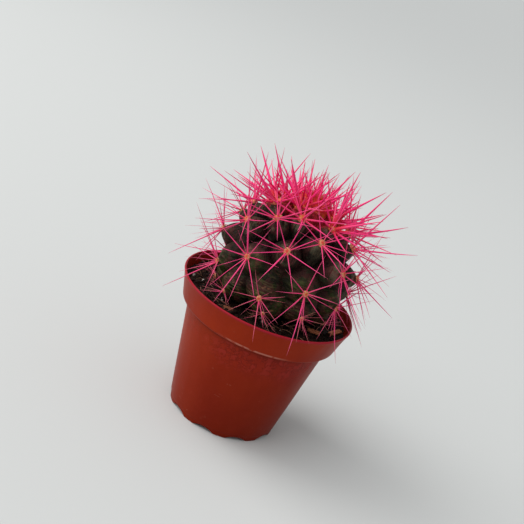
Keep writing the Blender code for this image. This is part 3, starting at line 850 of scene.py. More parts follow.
def bark():
    """Broken bark: orange brown with dark grain along each sliver."""
    finish = Finish("bark", Roughness=0.85, Specular_IOR_Level=0.20)
    grain, tone = map(finish.trait, ("grain", "tone"))
    lines = finish.noise(0.0012, detail=4.0, roughness=0.6) * 0.5 + grain * 0.5
    colour = finish.coats(
        finish.ramp(
            lines,
            (0.30, (0.150, 0.042, 0.018)),
            (0.50, (0.400, 0.125, 0.055)),
            (0.72, (0.600, 0.240, 0.120)),
        ),
        (tone * 0.8, (0.110, 0.036, 0.018)),
    )
    finish.relief((lines, 0.0004))
    return finish.set(Base_Color=colour)


def dry_fibre():
    """Dry bits in the peat: straw, dull rose and brown, by each bit's own tone."""
    finish = Finish("dry_fibre", Roughness=0.8, Specular_IOR_Level=0.20)
    return finish.set(Base_Color=finish.ramp(
        finish.trait("tone"),
        (0.00, (0.030, 0.012, 0.007)),
        (0.45, (0.120, 0.050, 0.026)),
        (0.75, (0.400, 0.200, 0.130)),
        (1.00, (0.460, 0.150, 0.130)),
    ))


def grit():
    """Porous grit: off-white grey, stained by the peat."""
    finish = Finish("grit", Roughness=0.85)
    stain = finish.spots(0.0009, 0.42, 0.66, detail=4.0)
    finish.relief((finish.noise(0.0004, shift=2.0), 0.00015))
    return finish.set(Base_Color=finish.coats((0.420, 0.400, 0.370), (stain, (0.090, 0.066, 0.050))))


def pale_floor():
    """Matt pale floor."""
    return Finish("pale_floor", Roughness=0.9).set(Base_Color=(0.545, 0.555, 0.550))


# Pot


def collar_radius(z):
    """Outer radius of the collar at a height."""
    return RIM_RADIUS - (POT_HEIGHT - z) * math.tan(COLLAR_SLOPE)


def body_radius(z):
    """Outer radius of the tapered body at a height."""
    share = (z - BODY_FOOT_HEIGHT) / (LEDGE_HEIGHT - BODY_FOOT_HEIGHT)
    return BODY_FOOT_RADIUS + share * (BODY_TOP_RADIUS - BODY_FOOT_RADIUS)


def arc(centre, radius, start, end, steps):
    """Points of a round stretch of a half section, from one angle to another in degrees."""
    turns = np.radians(np.linspace(start, end, steps + 1))
    return np.stack((centre[0] + radius * np.cos(turns), centre[1] + radius * np.sin(turns)), -1)


def line(start, end, steps):
    """Points of a straight stretch, without its end."""
    share = np.arange(steps)[:, None] / steps
    return np.array(start) * (1 - share) + np.array(end) * share


def inner_section(inset, top):
    """Inside of the pot from its floor's centre up to a height, moved in and up by inset."""
    channel = CHANNEL_HEIGHT + FLOOR
    ledge = body_radius(LEDGE_HEIGHT) - WALL
    points = [
        (PAD_RADIUS - CHANNEL_SLANT / 2, FLOOR),
        (PAD_RADIUS + CHANNEL_SLANT / 2, channel),
        (body_radius(channel) - 2 * WALL, channel),
        (body_radius(channel + WALL) - WALL, channel + WALL),
        (ledge, LEDGE_HEIGHT),
        (ledge + INNER_LEDGE, LEDGE_HEIGHT + WALL),
        (collar_radius(LEDGE_HEIGHT + WALL) - 2 * WALL, LEDGE_HEIGHT + 1.2 * WALL),
        (collar_radius(LEDGE_HEIGHT + 3 * WALL) - WALL, LEDGE_HEIGHT + 3 * WALL),
    ]
    moved = [(r - inset, z + inset) for r, z in points]
    return np.array(moved + [(collar_radius(top) - WALL - inset, top)])


def notch_height(turns, radius):
    """Height of the skirt's lower edge at each turn, where round notches part its feet.

    Across a notch it is an arc of the circle through the notch's two ends and its crest.
    """
    circle = ((NOTCH_WIDTH / 2) ** 2 + NOTCH_HEIGHT**2) / (2 * NOTCH_HEIGHT)
    pitch = 2 * np.pi / FEET
    off = (turns - FIRST_NOTCH + pitch / 2) % pitch - pitch / 2
    across = np.clip(radius * np.sin(off), -circle, circle)
    return np.maximum(np.sqrt(circle**2 - across**2) - circle + NOTCH_HEIGHT, 0.0)


def pot_section():
    """Half section of the pot from the inside of its floor, over the lip, to under its foot."""
    inside = inner_section(0.0, POT_HEIGHT - 2 * LIP_RADIUS)
    under_lip = POT_HEIGHT - 2.6 * LIP_RADIUS
    low = LEDGE_HEIGHT + COLLAR_ROUNDING
    corner = arc((collar_radius(low) - COLLAR_ROUNDING, low), COLLAR_ROUNDING, -10, -86, 7)
    hollow = (BODY_TOP_RADIUS + HOLLOW_RADIUS, LEDGE_HEIGHT - HOLLOW_DROP)
    under_ledge = LEDGE_HEIGHT - COLLAR_ROUNDING
    foot = (BODY_FOOT_RADIUS, BODY_FOOT_HEIGHT)
    step = BODY_FOOT_RADIUS - SKIRT_RADIUS
    return np.concatenate([
        line(inside[0] * (0.5, 1.0), inside[0], 2),
        *(line(start, end, steps) for start, end, steps in zip(inside[:-1], inside[1:], INSIDE_STEPS)),
        arc((RIM_RADIUS - LIP_RADIUS, POT_HEIGHT - LIP_RADIUS), LIP_RADIUS, 170, -10, 10),
        line((collar_radius(under_lip), under_lip), corner[0], 10),
        corner,
        arc(hollow, HOLLOW_RADIUS, 100, 180, 5),
        line((body_radius(under_ledge), under_ledge), foot, 34),
        [(BODY_FOOT_RADIUS - share * step, BODY_FOOT_HEIGHT - drop) for share, drop in FOOT_STEP],
    ])


def make_pot(finish):
    """The pot, turned from its half section, with a scalloped skirt and drain holes.

    Its body is a little out of round: three low waves run round it, most of all under the collar.
    """
    turns = 2 * np.pi * np.arange(POT_COLUMNS) / POT_COLUMNS
    edge = notch_height(turns, SKIRT_RADIUS)
    inner = SKIRT_RADIUS - SKIRT_WALL
    section = [
        *pot_section(),
        *((SKIRT_RADIUS - inward, edge + up) for inward, up in SKIRT_CORNER),
        *((inner + outward, edge + up) for outward, up in SKIRT_CORNER[::-1]),
        (inner, CHANNEL_HEIGHT),
        ((inner + PAD_RADIUS) / 2, CHANNEL_HEIGHT),
        (PAD_RADIUS + CHANNEL_SLANT, CHANNEL_HEIGHT),
        (PAD_RADIUS, PAD_CORNER / 2),
        (PAD_RADIUS - PAD_CORNER, 0.0),
        (PAD_RADIUS / 2, 0.0),
    ]
    radii = np.array([np.full(POT_COLUMNS, radius) for radius, _ in section])
    heights = np.array([np.broadcast_to(height, POT_COLUMNS) for _, height in section])
    body = smooth_step(heights, 0.010, 0.045) * (1 - smooth_step(heights, 0.060, POT_HEIGHT))
    radii -= SAG_DEPTH * body * (1 + np.cos(3 * turns + SAG_TURN))
    points = with_poles((0, 0, FLOOR), turned_skin(radii, heights, POT_COLUMNS), (0, 0, 0))
    pot = new_piece("nursery_pot", points, *closed_grid(len(section), POT_COLUMNS), finish)

    drains = 2 * np.pi * (np.arange(DRAIN_HOLES) + 0.5) / DRAIN_HOLES
    paths = np.array([
        [(DRAIN_CIRCLE * math.cos(turn), DRAIN_CIRCLE * math.sin(turn), z) for z in DRAIN_CUT]
        for turn in drains
    ])
    cut(pot, new_piece("drains", *tube_bundle(paths, np.full(paths.shape[:2], DRAIN_RADIUS), 28)))
    pot.data.set_sharp_from_angle(angle=math.radians(38))
    return pot


# Plant's own frame


def from_plant(points):
    """From the plant's own frame, its centre at zero, to the world."""
    return np.asarray(points) @ LEAN + STEM_CENTRE


def to_plant(points):
    """From the world to the plant's own frame."""
    return (np.asarray(points) - STEM_CENTRE) @ LEAN.T


# Areoles and skin, by the same rule as the solids


def envelope_height(z):
    """Half height of the envelope, which is flatter above its centre than below it."""
    return np.where(z > 0, STEM_UPPER, STEM_LOWER)


def spiral_place(index, rng):
    """Areole on the envelope, in the plant's frame, counted from the crown down.

    The cosine of its drop from the crown falls with the square of its count, and levels
    out below the equator. The crown is sunk by a bell curve.
    """
    turn, drop = DEPARTURES.get(index, rng.uniform(-JITTER, JITTER, 2))
    cosine = 1 - ((index + CROWN_START) / EQUATOR_AREOLE) ** 2
    if cosine < 0:
        cosine = -LOWER_CROWDING * (1 - math.exp(cosine / LOWER_CROWDING))
    polar = math.acos(cosine) + math.radians(drop)
    azimuth = math.radians(FRONT_TURN + AREOLE_TURN * (index - FRONT_AREOLE) + turn)
    level, upward = STEM_RADIUS * math.sin(polar), math.cos(polar)
    dip = CROWN_DIP * math.exp(-((polar / CROWN_DIP_WIDTH) ** 2))
    return np.array((
        level * math.sin(azimuth),
        -level * math.cos(azimuth),
        envelope_height(upward) * upward - dip,
    ))


def envelope_normal(point):
    """Outward normal of the envelope at a point of it."""
    half = (STEM_RADIUS, STEM_RADIUS, envelope_height(point[2]))
    return unit(point / np.array(half) ** 2)


def areole_places():
    """Every areole above the soil, as count and place, the lowest raised clear of it."""
    rng = np.random.default_rng(SEED)
    places = []
    for index in range(AREOLE_COUNT):
        world = from_plant(spiral_place(index, rng))
        if world[2] > SOIL_LEVEL + GAP:
            world[2] = max(world[2], SOIL_LEVEL + LOWEST_AREOLE)
            places.append((index, to_plant(world)))
    return places


def areole_frames(places):
    """Each areole in the world, as its count, its root and its outward normal."""
    return [(index, from_plant(place), envelope_normal(place) @ LEAN) for index, place in places]


def areole_axes(normal):
    """The two directions across an areole: level, and up the stem."""
    side = unit(np.cross(UP, normal))
    return side, np.cross(normal, side)


def tubercle_surface(ways, places):
    """Distance of the skin from the centre along unit directions.

    Round each areole stands a blunt cone, whose height falls with the arc from its top as
    a hyperbola, less steeply on the old ones low down. The skin is their soft maximum, and
    never under a share of the envelope.
    """
    level = (ways[..., 0] ** 2 + ways[..., 1] ** 2) / STEM_RADIUS**2
    envelope = 1 / np.sqrt(level + (ways[..., 2] / envelope_height(ways[..., 2])) ** 2)
    total = np.exp((envelope * CORE_SHARE - STEM_RADIUS) / VALLEY_ROUNDING)
    for index, place in places:
        tall = np.linalg.norm(place)
        low = place - TUBERCLE_HANG * UP
        reach = np.arccos(np.clip(ways @ (low / np.linalg.norm(low)), -1, 1)) * tall
        fall = np.sqrt(reach**2 + TUBERCLE_ROUNDING**2) - TUBERCLE_ROUNDING
        top = tall - value_at(TUBERCLE_SLOPES, index) * fall
        total += np.exp((top - STEM_RADIUS) / VALLEY_ROUNDING)
    return STEM_RADIUS + VALLEY_ROUNDING * np.log(total)


def tubercle_traits(ways, skin, places):
    """How the skin lies at each way: its valley, its furrow, its age and how low it is.

    The valley is the skin's depth under the level of the areoles round it, over the depth of
    the deepest. The furrow is 1 where the two nearest tubercles are equally far, and falls
    off as a bell curve of the difference. Age is the mean count of the areoles round it, over
    the number of them all. Below is how far it lies under its own areole, in spacings.
    """
    tops = np.array([place for _, place in places])
    heights = np.linalg.norm(tops, axis=1)
    far = np.arccos(np.clip(ways @ (tops / heights[:, None]).T, -1, 1))
    nearest = np.partition(far, 1, axis=-1) * STEM_RADIUS
    weights = np.exp(-((far / VALLEY_REACH) ** 2)) + 1e-12
    weights /= weights.sum(axis=-1, keepdims=True)
    counts = np.array([index for index, _ in places]) / AREOLE_COUNT
    own = tops[far.argmin(axis=-1), 2]
    return {
        "valley": np.clip((weights @ heights - skin) / VALLEY_DEPTH, 0, 1),
        "furrow": np.exp(-(((nearest[:, 1] - nearest[:, 0]) / FURROW_WIDTH) ** 2)),
        "age": weights @ counts,
        "below": np.clip((own - ways[:, 2] * skin) / TUBERCLE_SPACING, -1, 1),
    }


def chip_distance(x, y, share=0.5):
    """Distance of spots from the nearest chip, as a disc with this share of its length round it."""
    return np.min([np.hypot(x - c[0], y - c[1]) - share * c[3] for c in CHIPS], axis=0)


def make_stem(places, finish):
    """The stem: a grid of turns and drops about the plant's axis, drawn out to the skin.

    Between tubercles the skin is cut in by a furrow, and it carries fine pleats that run
    down it and low folds that run round its foot, both of them noise drawn out one way.
    A little under the soil it ends flat.
    """
    drops = np.pi * (np.arange(STEM_ROWS) + 0.5) / STEM_ROWS
    rows = turned_skin(np.sin(drops), np.cos(drops), STEM_COLUMNS)
    ways = with_poles((0, 0, 1.0), rows, (0, 0, -1.0))
    skin = tubercle_surface(ways, places)
    traits = tubercle_traits(ways, skin, places)
    spot = ways * STEM_RADIUS
    pleats = layered_noise(spot * (1.0, 1.0, 0.18), PLEAT_WIDTH, 31)
    folds = layered_noise(spot * (0.35, 0.35, 1.0), FOLD_WIDTH, 37)
    old = smooth_step(traits["age"], 0.55, 0.85)
    skin -= FURROW_DEPTH * traits["furrow"] * (1 - 0.55 * old)
    skin += PLEAT_DEPTH * pleats * (1 - 0.75 * old) + FOLD_DEPTH * folds * old
    points = from_plant(ways * skin[:, None])
    points[:, 2] = np.maximum(points[:, 2], SOIL_LEVEL - STEM_SUNK)
    return new_piece("stem", points, *closed_grid(STEM_ROWS, STEM_COLUMNS), finish, traits)


# Spines, by the same rule as the solids


def is_clear(root, way, length):
    """Whether a spine from a root misses the soil, the chips and the pot."""
    x, y, z = (root + way * length * np.linspace(0.25, 1.0, 32)[:, None]).T
    out = np.hypot(x, y)
    ground = SOIL_LEVEL + SOIL_RELIEF + CHIP_HEIGHT * (chip_distance(x, y) < CHIP_ROOM)
    over = np.where(out > collar_radius(z) - WALL - SPINE_CLEARANCE, POT_HEIGHT, ground)
    outside = out > RIM_RADIUS + SPINE_CLEARANCE
    return bool((outside | (z >= over + SPINE_CLEARANCE)).all())


def lifted(root, way, length):
    """The way and length of a spine, bent up and then shortened until it is clear."""
    for share in (1.0, 0.8, 0.6):
        turned = way
        for _ in range(LIFT_LIMIT):
            if is_clear(root, turned, length * share):
                return turned, length * share
            side = UP - turned * turned[2]
            side /= max(np.linalg.norm(side), 1e-6)
            turned = turned * math.cos(LIFT_STEP) + side * math.sin(LIFT_STEP)
            turned /= np.linalg.norm(turned)
    return UP, length * share


def spine_plan(index, rng):
    """The stout spines of one areole: a star of outer ones, and one or two in its middle.

    Each is (turn, spread from the normal, length, kind), in degrees and metres.
    """
    outer = int(value_at(SPINE_COUNTS, index))
    spread = value_at(SPINE_SPREADS, index)
    reach = value_at(SPINE_LENGTHS, index)
    inner = rng.integers(1, 3) if outer >= FULL_STAR else 1
    first = rng.uniform(0, 360)
    plan = []
    for number in range(outer):
        turn = first + 360 * (number + rng.uniform(-0.22, 0.22)) / outer
        plan.append((turn, spread + rng.uniform(-8, 8), reach * rng.uniform(0.75, 1.1), OUTER))
    share = value_at(MIDDLE_LEANS, index)
    reach = reach * value_at(MIDDLE_LENGTHS, index)
    for number in range(inner):
        turn = (180 if number == 0 else 0) + rng.uniform(-25, 25)
        lean = spread * (share + rng.uniform(0.0, 0.3))
        plan.append((turn, lean, reach * rng.uniform(1.0, 1.2), MIDDLE))
    return plan


def thin_plan(index, rng):
    """The thin spines between the stout ones, which the solids leave out, in the same form."""
    spread = value_at(SPINE_SPREADS, index)
    reach = value_at(SPINE_LENGTHS, index)
    return [
        (rng.uniform(0, 360), spread * rng.uniform(0.5, 1.2), reach * rng.uniform(0.5, 0.95), THIN)
        for _ in range(int(value_at(THIN_COUNTS, index)))
    ]


def room_round(root, way, length, places, others):
    """Least room along a spine, to the skin and to the spines that are placed already."""
    shares = np.linspace(0.1, 1.0, 28)
    points = root + way * (length * shares)[:, None]
    outer = shares * length > ROOT_REACH
    inner = to_plant(points)
    far = np.linalg.norm(inner, axis=1)
    skin = far - tubercle_surface(inner / far[:, None], places)
    room = skin[outer].min() - SPINE_RADIUS
    if others:
        roots, ways, lengths = (np.array(part) for part in zip(*others))
        offset = points[:, None] - roots
        along = np.clip(np.einsum("ijk,jk->ij", offset, ways), 0, lengths)
        gap = np.linalg.norm(offset - along[..., None] * ways, axis=2)
        gap -= SPINE_RADIUS * (2 - shares[:, None] - along / lengths)
        apart = (along > ROOT_REACH) | (np.linalg.norm(roots - root, axis=1) > 2 * ROOT_REACH)
        gap = np.where(outer[:, None] & apart, gap, np.inf)
        room = min(room, gap.min())
    return room


def areole_spines(plan, root, normal, places, others, rng):
    """The spines of one areole, as (root, way, length), each turned until it has room."""
    side, up = areole_axes(normal)
    spines = []
    for turn, spread, length, _ in plan:
        best = None
        for _ in range(SPINE_TRIES):
            angle, tilt = math.radians(turn), math.radians(spread)
            across = side * math.sin(angle) + up * math.cos(angle)
            start = root + across * SPINE_RING * math.sin(tilt)
            way, reach = lifted(start, normal * math.cos(tilt) + across * math.sin(tilt), length)
            room = room_round(start, way, reach, places, others + spines)
            if best is None or room > best[0]:
                best = (room, (start, way, reach))
            if room > SPINE_ROOM:
                break
            turn += rng.uniform(-12, 12)
            spread = max(spread + rng.uniform(-10, 5), 6)
        spines.append(best[1])
    return spines


def all_spines(places):
    """The stout spines of the solids, then the thin ones between them.

    Gives them as (root, way, length), with the areole and the kind of each.
    """
    spines, owners, kinds = [], [], []
    frames = areole_frames(places)
    for make_plan, seed in ((spine_plan, SEED + 1), (thin_plan, SEED + 2)):
        rng = np.random.default_rng(seed)
        for index, root, normal in frames:
            plan = make_plan(index, rng)
            spines += areole_spines(plan, root, normal, places, spines, rng)
            owners += [index] * len(plan)
            kinds += [kind for *_, kind in plan]
    return spines, np.array(owners), np.array(kinds)


def make_spines(places, finish):
    """Every spine as a round tube that keeps its width for most of its length, then tapers.

    A spine bows by up to 2 hundredths of its length: at t, from 0 at its root to 1 at its tip,
    it has moved across by bow times 4t(1 - t). Its radius is the root radius times
    (1 - t)^0.65, a little swollen at the root.
    """
    spines, owners, kinds = all_spines(places)
    rng = np.random.default_rng(SEED + 3)
    roots, ways, lengths = (np.array(part) for part in zip(*spines))
    count = len(spines)
    steps = np.linspace(0, 1, SPINE_RINGS) ** 0.9
    share = steps[None, :, None]
    bow = across_ways(ways, rng) * (rng.uniform(0.0, SPINE_BOW, count) * lengths)[:, None]
    sunk = 0.8 * SPINE_SUNK
    start = roots - ways * sunk
    span = ways * (lengths + sunk)[:, None]
    paths = start[:, None] + span[:, None] * share + bow[:, None] * (4 * share * (1 - share))
    stout_base, thin_base = rng.uniform(*STOUT_BASE, count), rng.uniform(*THIN_BASE, count)
    base = np.choose(kinds, (stout_base, stout_base * MIDDLE_SHARE, thin_base))
    base *= value_at(BASE_SHARES, owners)
    profile = (1 - steps) ** SPINE_TAPER * (1 + ROOT_SWELLING * np.exp(-steps * 14))
    radii = base[:, None] * np.maximum(profile, TIP_SHARE)
    worn = value_at(WORN_SHARES, owners) * rng.uniform(0.6, 1.0, count)
    young = value_at(YOUNG_SHARES, owners)
    traits = {
        "young": per_tube(young, SPINE_RINGS, SPINE_SIDES),
        "along": per_ring(steps, count, SPINE_SIDES),
        "tone": per_tube(rng.uniform(0, 1, count), SPINE_RINGS, SPINE_SIDES),
        "worn": per_tube(worn, SPINE_RINGS, SPINE_SIDES),
    }
    return new_piece("spines", *tube_bundle(paths, radii, SPINE_SIDES), finish, traits)


# Wool


def wool_fibres(roots, ways, lengths, radius, curl, rng):
    """Short curled fibres: straight along their way, plus curl times t^2 and a wave across it."""
    count = len(roots)
    share = np.linspace(0, 1, WOOL_RINGS)[None, :, None]
    across = across_ways(ways, rng) * (lengths * curl)[:, None]
    wave = lengths * curl * 0.4 * rng.uniform(-1, 1, count)
    second = unit(np.cross(ways, across)) * wave[:, None]
    paths = roots[:, None] + ways[:, None] * lengths[:, None, None] * share
    paths = paths + across[:, None] * share**2 + second[:, None] * np.sin(share * 5)
    radii = np.broadcast_to(radius * (1 - 0.75 * share[..., 0]), (count, WOOL_RINGS))
    return tube_bundle(paths, radii, WOOL_SIDES)


def felt(name, cushions, triangles, fibres, tone, dyed, finish):
    """Wool as one piece. Tone and dyed give the cushions' points, and one number a fibre."""
    points, quads, fans = fibres
    first = len(cushions)
    traits = {
        trait: np.concatenate((cushion, per_tube(fibre, WOOL_RINGS, WOOL_SIDES)))
        for trait, (cushion, fibre) in (("tone", tone), ("dyed", dyed))
    }
    points = np.concatenate((cushions, points))
    return new_piece(
        name, points, quads + first, np.concatenate((triangles, fans + first)), finish, traits
    )


def make_areole_wool(places, finish):
    """A felted cushion in each areole, taller than wide, with loose fibre ends on it.

    The first few areoles have none, because the crown's wool covers them.
    """
    rng = np.random.default_rng(SEED + 5)
    shape, triangles = ball(3)
    middle = np.exp(-3.0 * (shape[:, 0] ** 2 + (shape[:, 1] - 0.1) ** 2))
    cushions, cushion_traits, fibres = [], [], []
    for index, root, normal in areole_frames(places[CROWN_AREOLES:]):
        axes = np.stack((*areole_axes(normal), normal))
        size = value_at(CUSHION_SIZES, index)
        young = value_at(CUSHION_DYES, index)
        half = np.array(CUSHION_HALF) * size
        lumpy = shape * (1 + 0.16 * lattice_noise(shape + index, 0.45, 41)[:, None])
        cushions.append(lumpy * half @ axes + root)
        cushion_traits.append((
            rng.uniform(0.25, 0.75, len(shape)), np.maximum(middle, young * 0.75),
        ))
        x, y, out = disc_spots(CUSHION_FIBRES, rng, 0.05)
        spot = np.stack((x, y, 0.85 * np.sqrt(1.02 - out**2)), -1)
        spray = rng.normal(scale=0.35, size=spot.shape)
        ways = unit(spot * (1.1, 1.1, 0.9) + spray + (0, 0, 0.25))
        lengths = rng.uniform(*CUSHION_FIBRE_LENGTHS, len(spot)) * size
        dyed = np.maximum(0.9 * (1 - out), young * rng.uniform(0.3, 0.9, len(spot)))
        fibres.append((root + spot * half * 0.9 @ axes, ways @ axes, lengths, dyed))
    roots, ways, lengths, dyed = (np.concatenate(part) for part in zip(*fibres))
    cushion_tone, cushion_dyed = (np.concatenate(part) for part in zip(*cushion_traits))
    ends = wool_fibres(roots, ways, lengths, CUSHION_FIBRE_RADIUS, 0.5, rng)
    tone = rng.uniform(0.35, 1.0, len(roots))
    faces = copies(triangles, len(cushions), len(shape))
    return felt(
        "areole_wool", np.concatenate(cushions), faces, ends, (cushion_tone, tone),
        (cushion_dyed, dyed), finish,
    )


def make_crown_wool(finish):
    """Matted wool that fills the sunk crown: a low lumpy cushion under a tangle of fibres."""
    rng = np.random.default_rng(SEED + 6)
    shape, triangles = ball(4)
    half = np.array(CROWN_HALF)
    centre = UP * (STEM_UPPER - CROWN_DIP)
    lumpy = shape * (1 + 0.10 * layered_noise(shape, 0.55, 47)[:, None]) * half + centre
    x, y, out = np.array(disc_spots(CROWN_FIBRES, rng)) * 0.97
    spot = np.stack((x, y, np.sqrt(1 - out**2)), -1)
    spray = rng.normal(scale=0.5, size=spot.shape)
    ways = unit(spot * (1, 1, 0.6) + spray + (0, 0, 0.35))
    lengths = rng.uniform(*CROWN_FIBRE_LENGTHS, len(spot))
    roots = spot * half * 0.95 + centre
    points, *faces = wool_fibres(roots, ways, lengths, CROWN_FIBRE_RADIUS, 0.6, rng)
    tone = (rng.uniform(0.1, 0.6, len(shape)), rng.uniform(0.1, 0.8, len(spot)))
    dyed = (np.ones(len(shape)), rng.uniform(0.75, 1.0, len(spot)))
    fibres = (from_plant(points), *faces)
    return felt("crown_wool", from_plant(lumpy), triangles, fibres, tone, dyed, finish)


# Soil


def stem_distance(x, y, radius):
    """Distance of spots from the stem where it meets the soil, as a disc of this radius."""
    return np.hypot(x - STEM_FOOT[0], y - STEM_FOOT[1]) - radius


def calm_share(x, y):
    """How rough the soil is: a quarter under the chips and round the stem, 1 well away."""
    near = np.minimum(stem_distance(x, y, STEM_RADIUS * 0.85), chip_distance(x, y))
    return np.clip(near / CALM_WIDTH, 0.25, 1.0)


def soil_height(x, y):
    """Height of the soil: level, with clods, crumbs and grains raised by noises of three sizes."""
    spot = np.stack((x, y, np.zeros_like(x)), -1)
    clods = layered_noise(spot, CLOD_SIZE, 61, 2)
    crumbs = np.abs(lattice_noise(spot, CRUMB_SIZE, 67)) - 0.3
    grains = lattice_noise(spot, GRAIN_SIZE, 71)
    relief = SOIL_RELIEF * (0.75 * clods + 0.55 * crumbs + 0.22 * grains)
    return SOIL_LEVEL + relief * calm_share(x, y)


def make_soil(finish):
    """The peat as one closed skin: crumbled top, sides along the pot's wall, and underside."""
    section = inner_section(GAP / 3, SOIL_LEVEL)[::-1]
    edge = section[0][0]
    out = edge * (np.arange(1, SOIL_ROWS + 1) / SOIL_ROWS) ** 0.8
    top = turned_skin(out, out, SOIL_COLUMNS)
    sunk = SOIL_EDGE_DROP * smooth_step(out, edge - 0.002, edge)
    top[..., 2] = soil_height(top[..., 0], top[..., 1]) - sunk[:, None]
    sides = turned_skin(section[1:, 0], section[1:, 1], SOIL_COLUMNS)
    grid = np.concatenate((top, sides))
    points = with_poles((0, 0, SOIL_LEVEL), grid, (0, 0, section[-1][1]))
    return new_piece("peat_bed", points, *closed_grid(len(grid), SOIL_COLUMNS), finish)


def soil_spots(count, rng, clear=0.0):
    """Random spots on the open soil, outside the stem and inside the pot's wall."""
    x, y, _ = np.array(disc_spots(count * 3, rng)) * (SOIL_REACH - CRUMB_ROOM)
    free = (stem_distance(x, y, STEM_FOOT_RADIUS) > 0) & (chip_distance(x, y, 0.45) > clear)
    return np.stack((x, y), -1)[free][:count]


def on_soil(spots, sizes, raised):
    """Centres of lumps at these spots, raised over the soil by a share of their half size."""
    height = soil_height(spots[:, 0], spots[:, 1]) + sizes.mean(axis=1) * raised
    return np.column_stack((spots, height))


def make_crumbs(finish):
    """Loose crumbs of peat lying on the bed, many small ones and a few larger."""
    rng = np.random.default_rng(SEED + 7)
    parts = []
    total = 0
    for count, low, high, fineness in CRUMBS:
        spots = soil_spots(count, rng)
        sizes = rng.uniform(low, high, (len(spots), 1)) * rng.uniform(0.6, 1.0, (len(spots), 3))
        points, triangles = lumps(on_soil(spots, sizes, 0.35), sizes, fineness, 0.28, rng)
        parts.append((points, triangles + total))
        total += len(points)
    points, triangles = (np.concatenate(part) for part in zip(*parts))
    piece = new_piece("peat_crumbs", points, (), triangles, finish)
    piece.data.set_sharp_from_angle(angle=math.radians(50))
    return piece


def off_the_wall(paths):
    """Paths on the soil, drawn in where they would pass the pot's wall."""
    far = np.hypot(paths[..., 0], paths[..., 1])
    paths[..., :2] *= (np.minimum(far, SOIL_REACH - FIBRE_ROOM) / far)[..., None]
    return paths


def dried_tufts(rng):
    """Dried spines that spread from a few spots on the peat, as paths and radii.

    Each starts at its tuft's spot, runs out at a random turn and rises by a random share
    of its length, and its radius falls evenly to a third.
    """
    x, y, size = (np.repeat(column, TUFT_FIBRES) for column in np.array(TUFTS).T)
    turn = rng.uniform(0, 2 * np.pi, len(x))
    rise = rng.uniform(0.03, 0.30, len(x))
    way = unit(np.stack((np.cos(turn), np.sin(turn), rise), -1))
    start = np.stack((x, y, soil_height(x, y)), -1)
    share = np.linspace(0, 1, FIBRE_RINGS)
    length = size * rng.uniform(0.5, 1.0, len(x))
    paths = start[:, None] + way[:, None] * (length[:, None] * share)[..., None]
    radii = rng.uniform(*TUFT_RADII, len(x))[:, None] * (1 - 0.67 * share)
    return off_the_wall(paths), radii


def loose_fibres(rng):
    """Root hairs and straw that lie on the peat, curved and a little raised, as paths and radii.

    A hair turns evenly along its length. It follows 0.35 of the soil's relief. Over that it
    rises as a parabola, highest in its middle, on an even slant.
    """
    spots = soil_spots(HAIRS, rng)
    count = len(spots)
    length = rng.uniform(*HAIR_LENGTHS, count)
    heading = rng.uniform(0, 2 * np.pi, count)
    share = np.linspace(-0.5, 0.5, FIBRE_RINGS)
    turn = heading[:, None] + rng.uniform(-1.6, 1.6, count)[:, None] * share
    step = np.stack((np.cos(turn), np.sin(turn)), -1) * (length / FIBRE_RINGS)[:, None, None]
    flat = spots[:, None] + np.cumsum(step, axis=1) - step.sum(axis=1, keepdims=True) / 2
    flat = off_the_wall(flat)
    rise = rng.uniform(*HAIR_RISE, count)[:, None] * (1 - (2 * share) ** 2) + HAIR_CLEARANCE
    slant = rng.uniform(*HAIR_SLANT, count)[:, None] * (share + 0.5)
    height = soil_height(flat[..., 0], flat[..., 1]) * 0.35 + 0.65 * SOIL_LEVEL + rise + slant
    radii = rng.uniform(*HAIR_RADII, count)[:, None] * (1 - 0.5 * np.abs(2 * share))
    return np.concatenate((flat, height[..., None]), axis=-1), radii


def make_fibres(finish):
    """Root hairs, straw and fallen spines on the peat. Most hairs are dark and the spines pale."""
    rng = np.random.default_rng(SEED + 8)
    hairs, hair_radii = loose_fibres(rng)
    tufts, tuft_radii = dried_tufts(rng)
    paths, radii = np.concatenate((hairs, tufts)), np.concatenate((hair_radii, tuft_radii))
    tones = (rng.uniform(0, 1, len(hairs)) ** 2.8, rng.uniform(0.7, 1.0, len(tufts)))
    traits = {"tone": per_tube(np.concatenate(tones), FIBRE_RINGS, FIBRE_SIDES)}
    return new_piece("peat_fibres", *tube_bundle(paths, radii, FIBRE_SIDES), finish, traits)


def make_grit(finish):
    """A few grains of pale porous grit in the peat."""
    rng = np.random.default_rng(SEED + 9)
    placed = np.array(GRAINS)
    spots = np.concatenate((placed[:, :2], soil_spots(MORE_GRAINS, rng, clear=0.001)))
    widths = np.concatenate((placed[:, 2], rng.uniform(*GRAIN_HALF, len(spots) - len(placed))))
    sizes = widths[:, None] * rng.uniform(0.7, 1.0, (len(spots), 3))
    points, triangles = lumps(on_soil(spots, sizes, 0.3), sizes, 3, 0.12, rng)
    return new_piece("grit", points, (), triangles, finish)


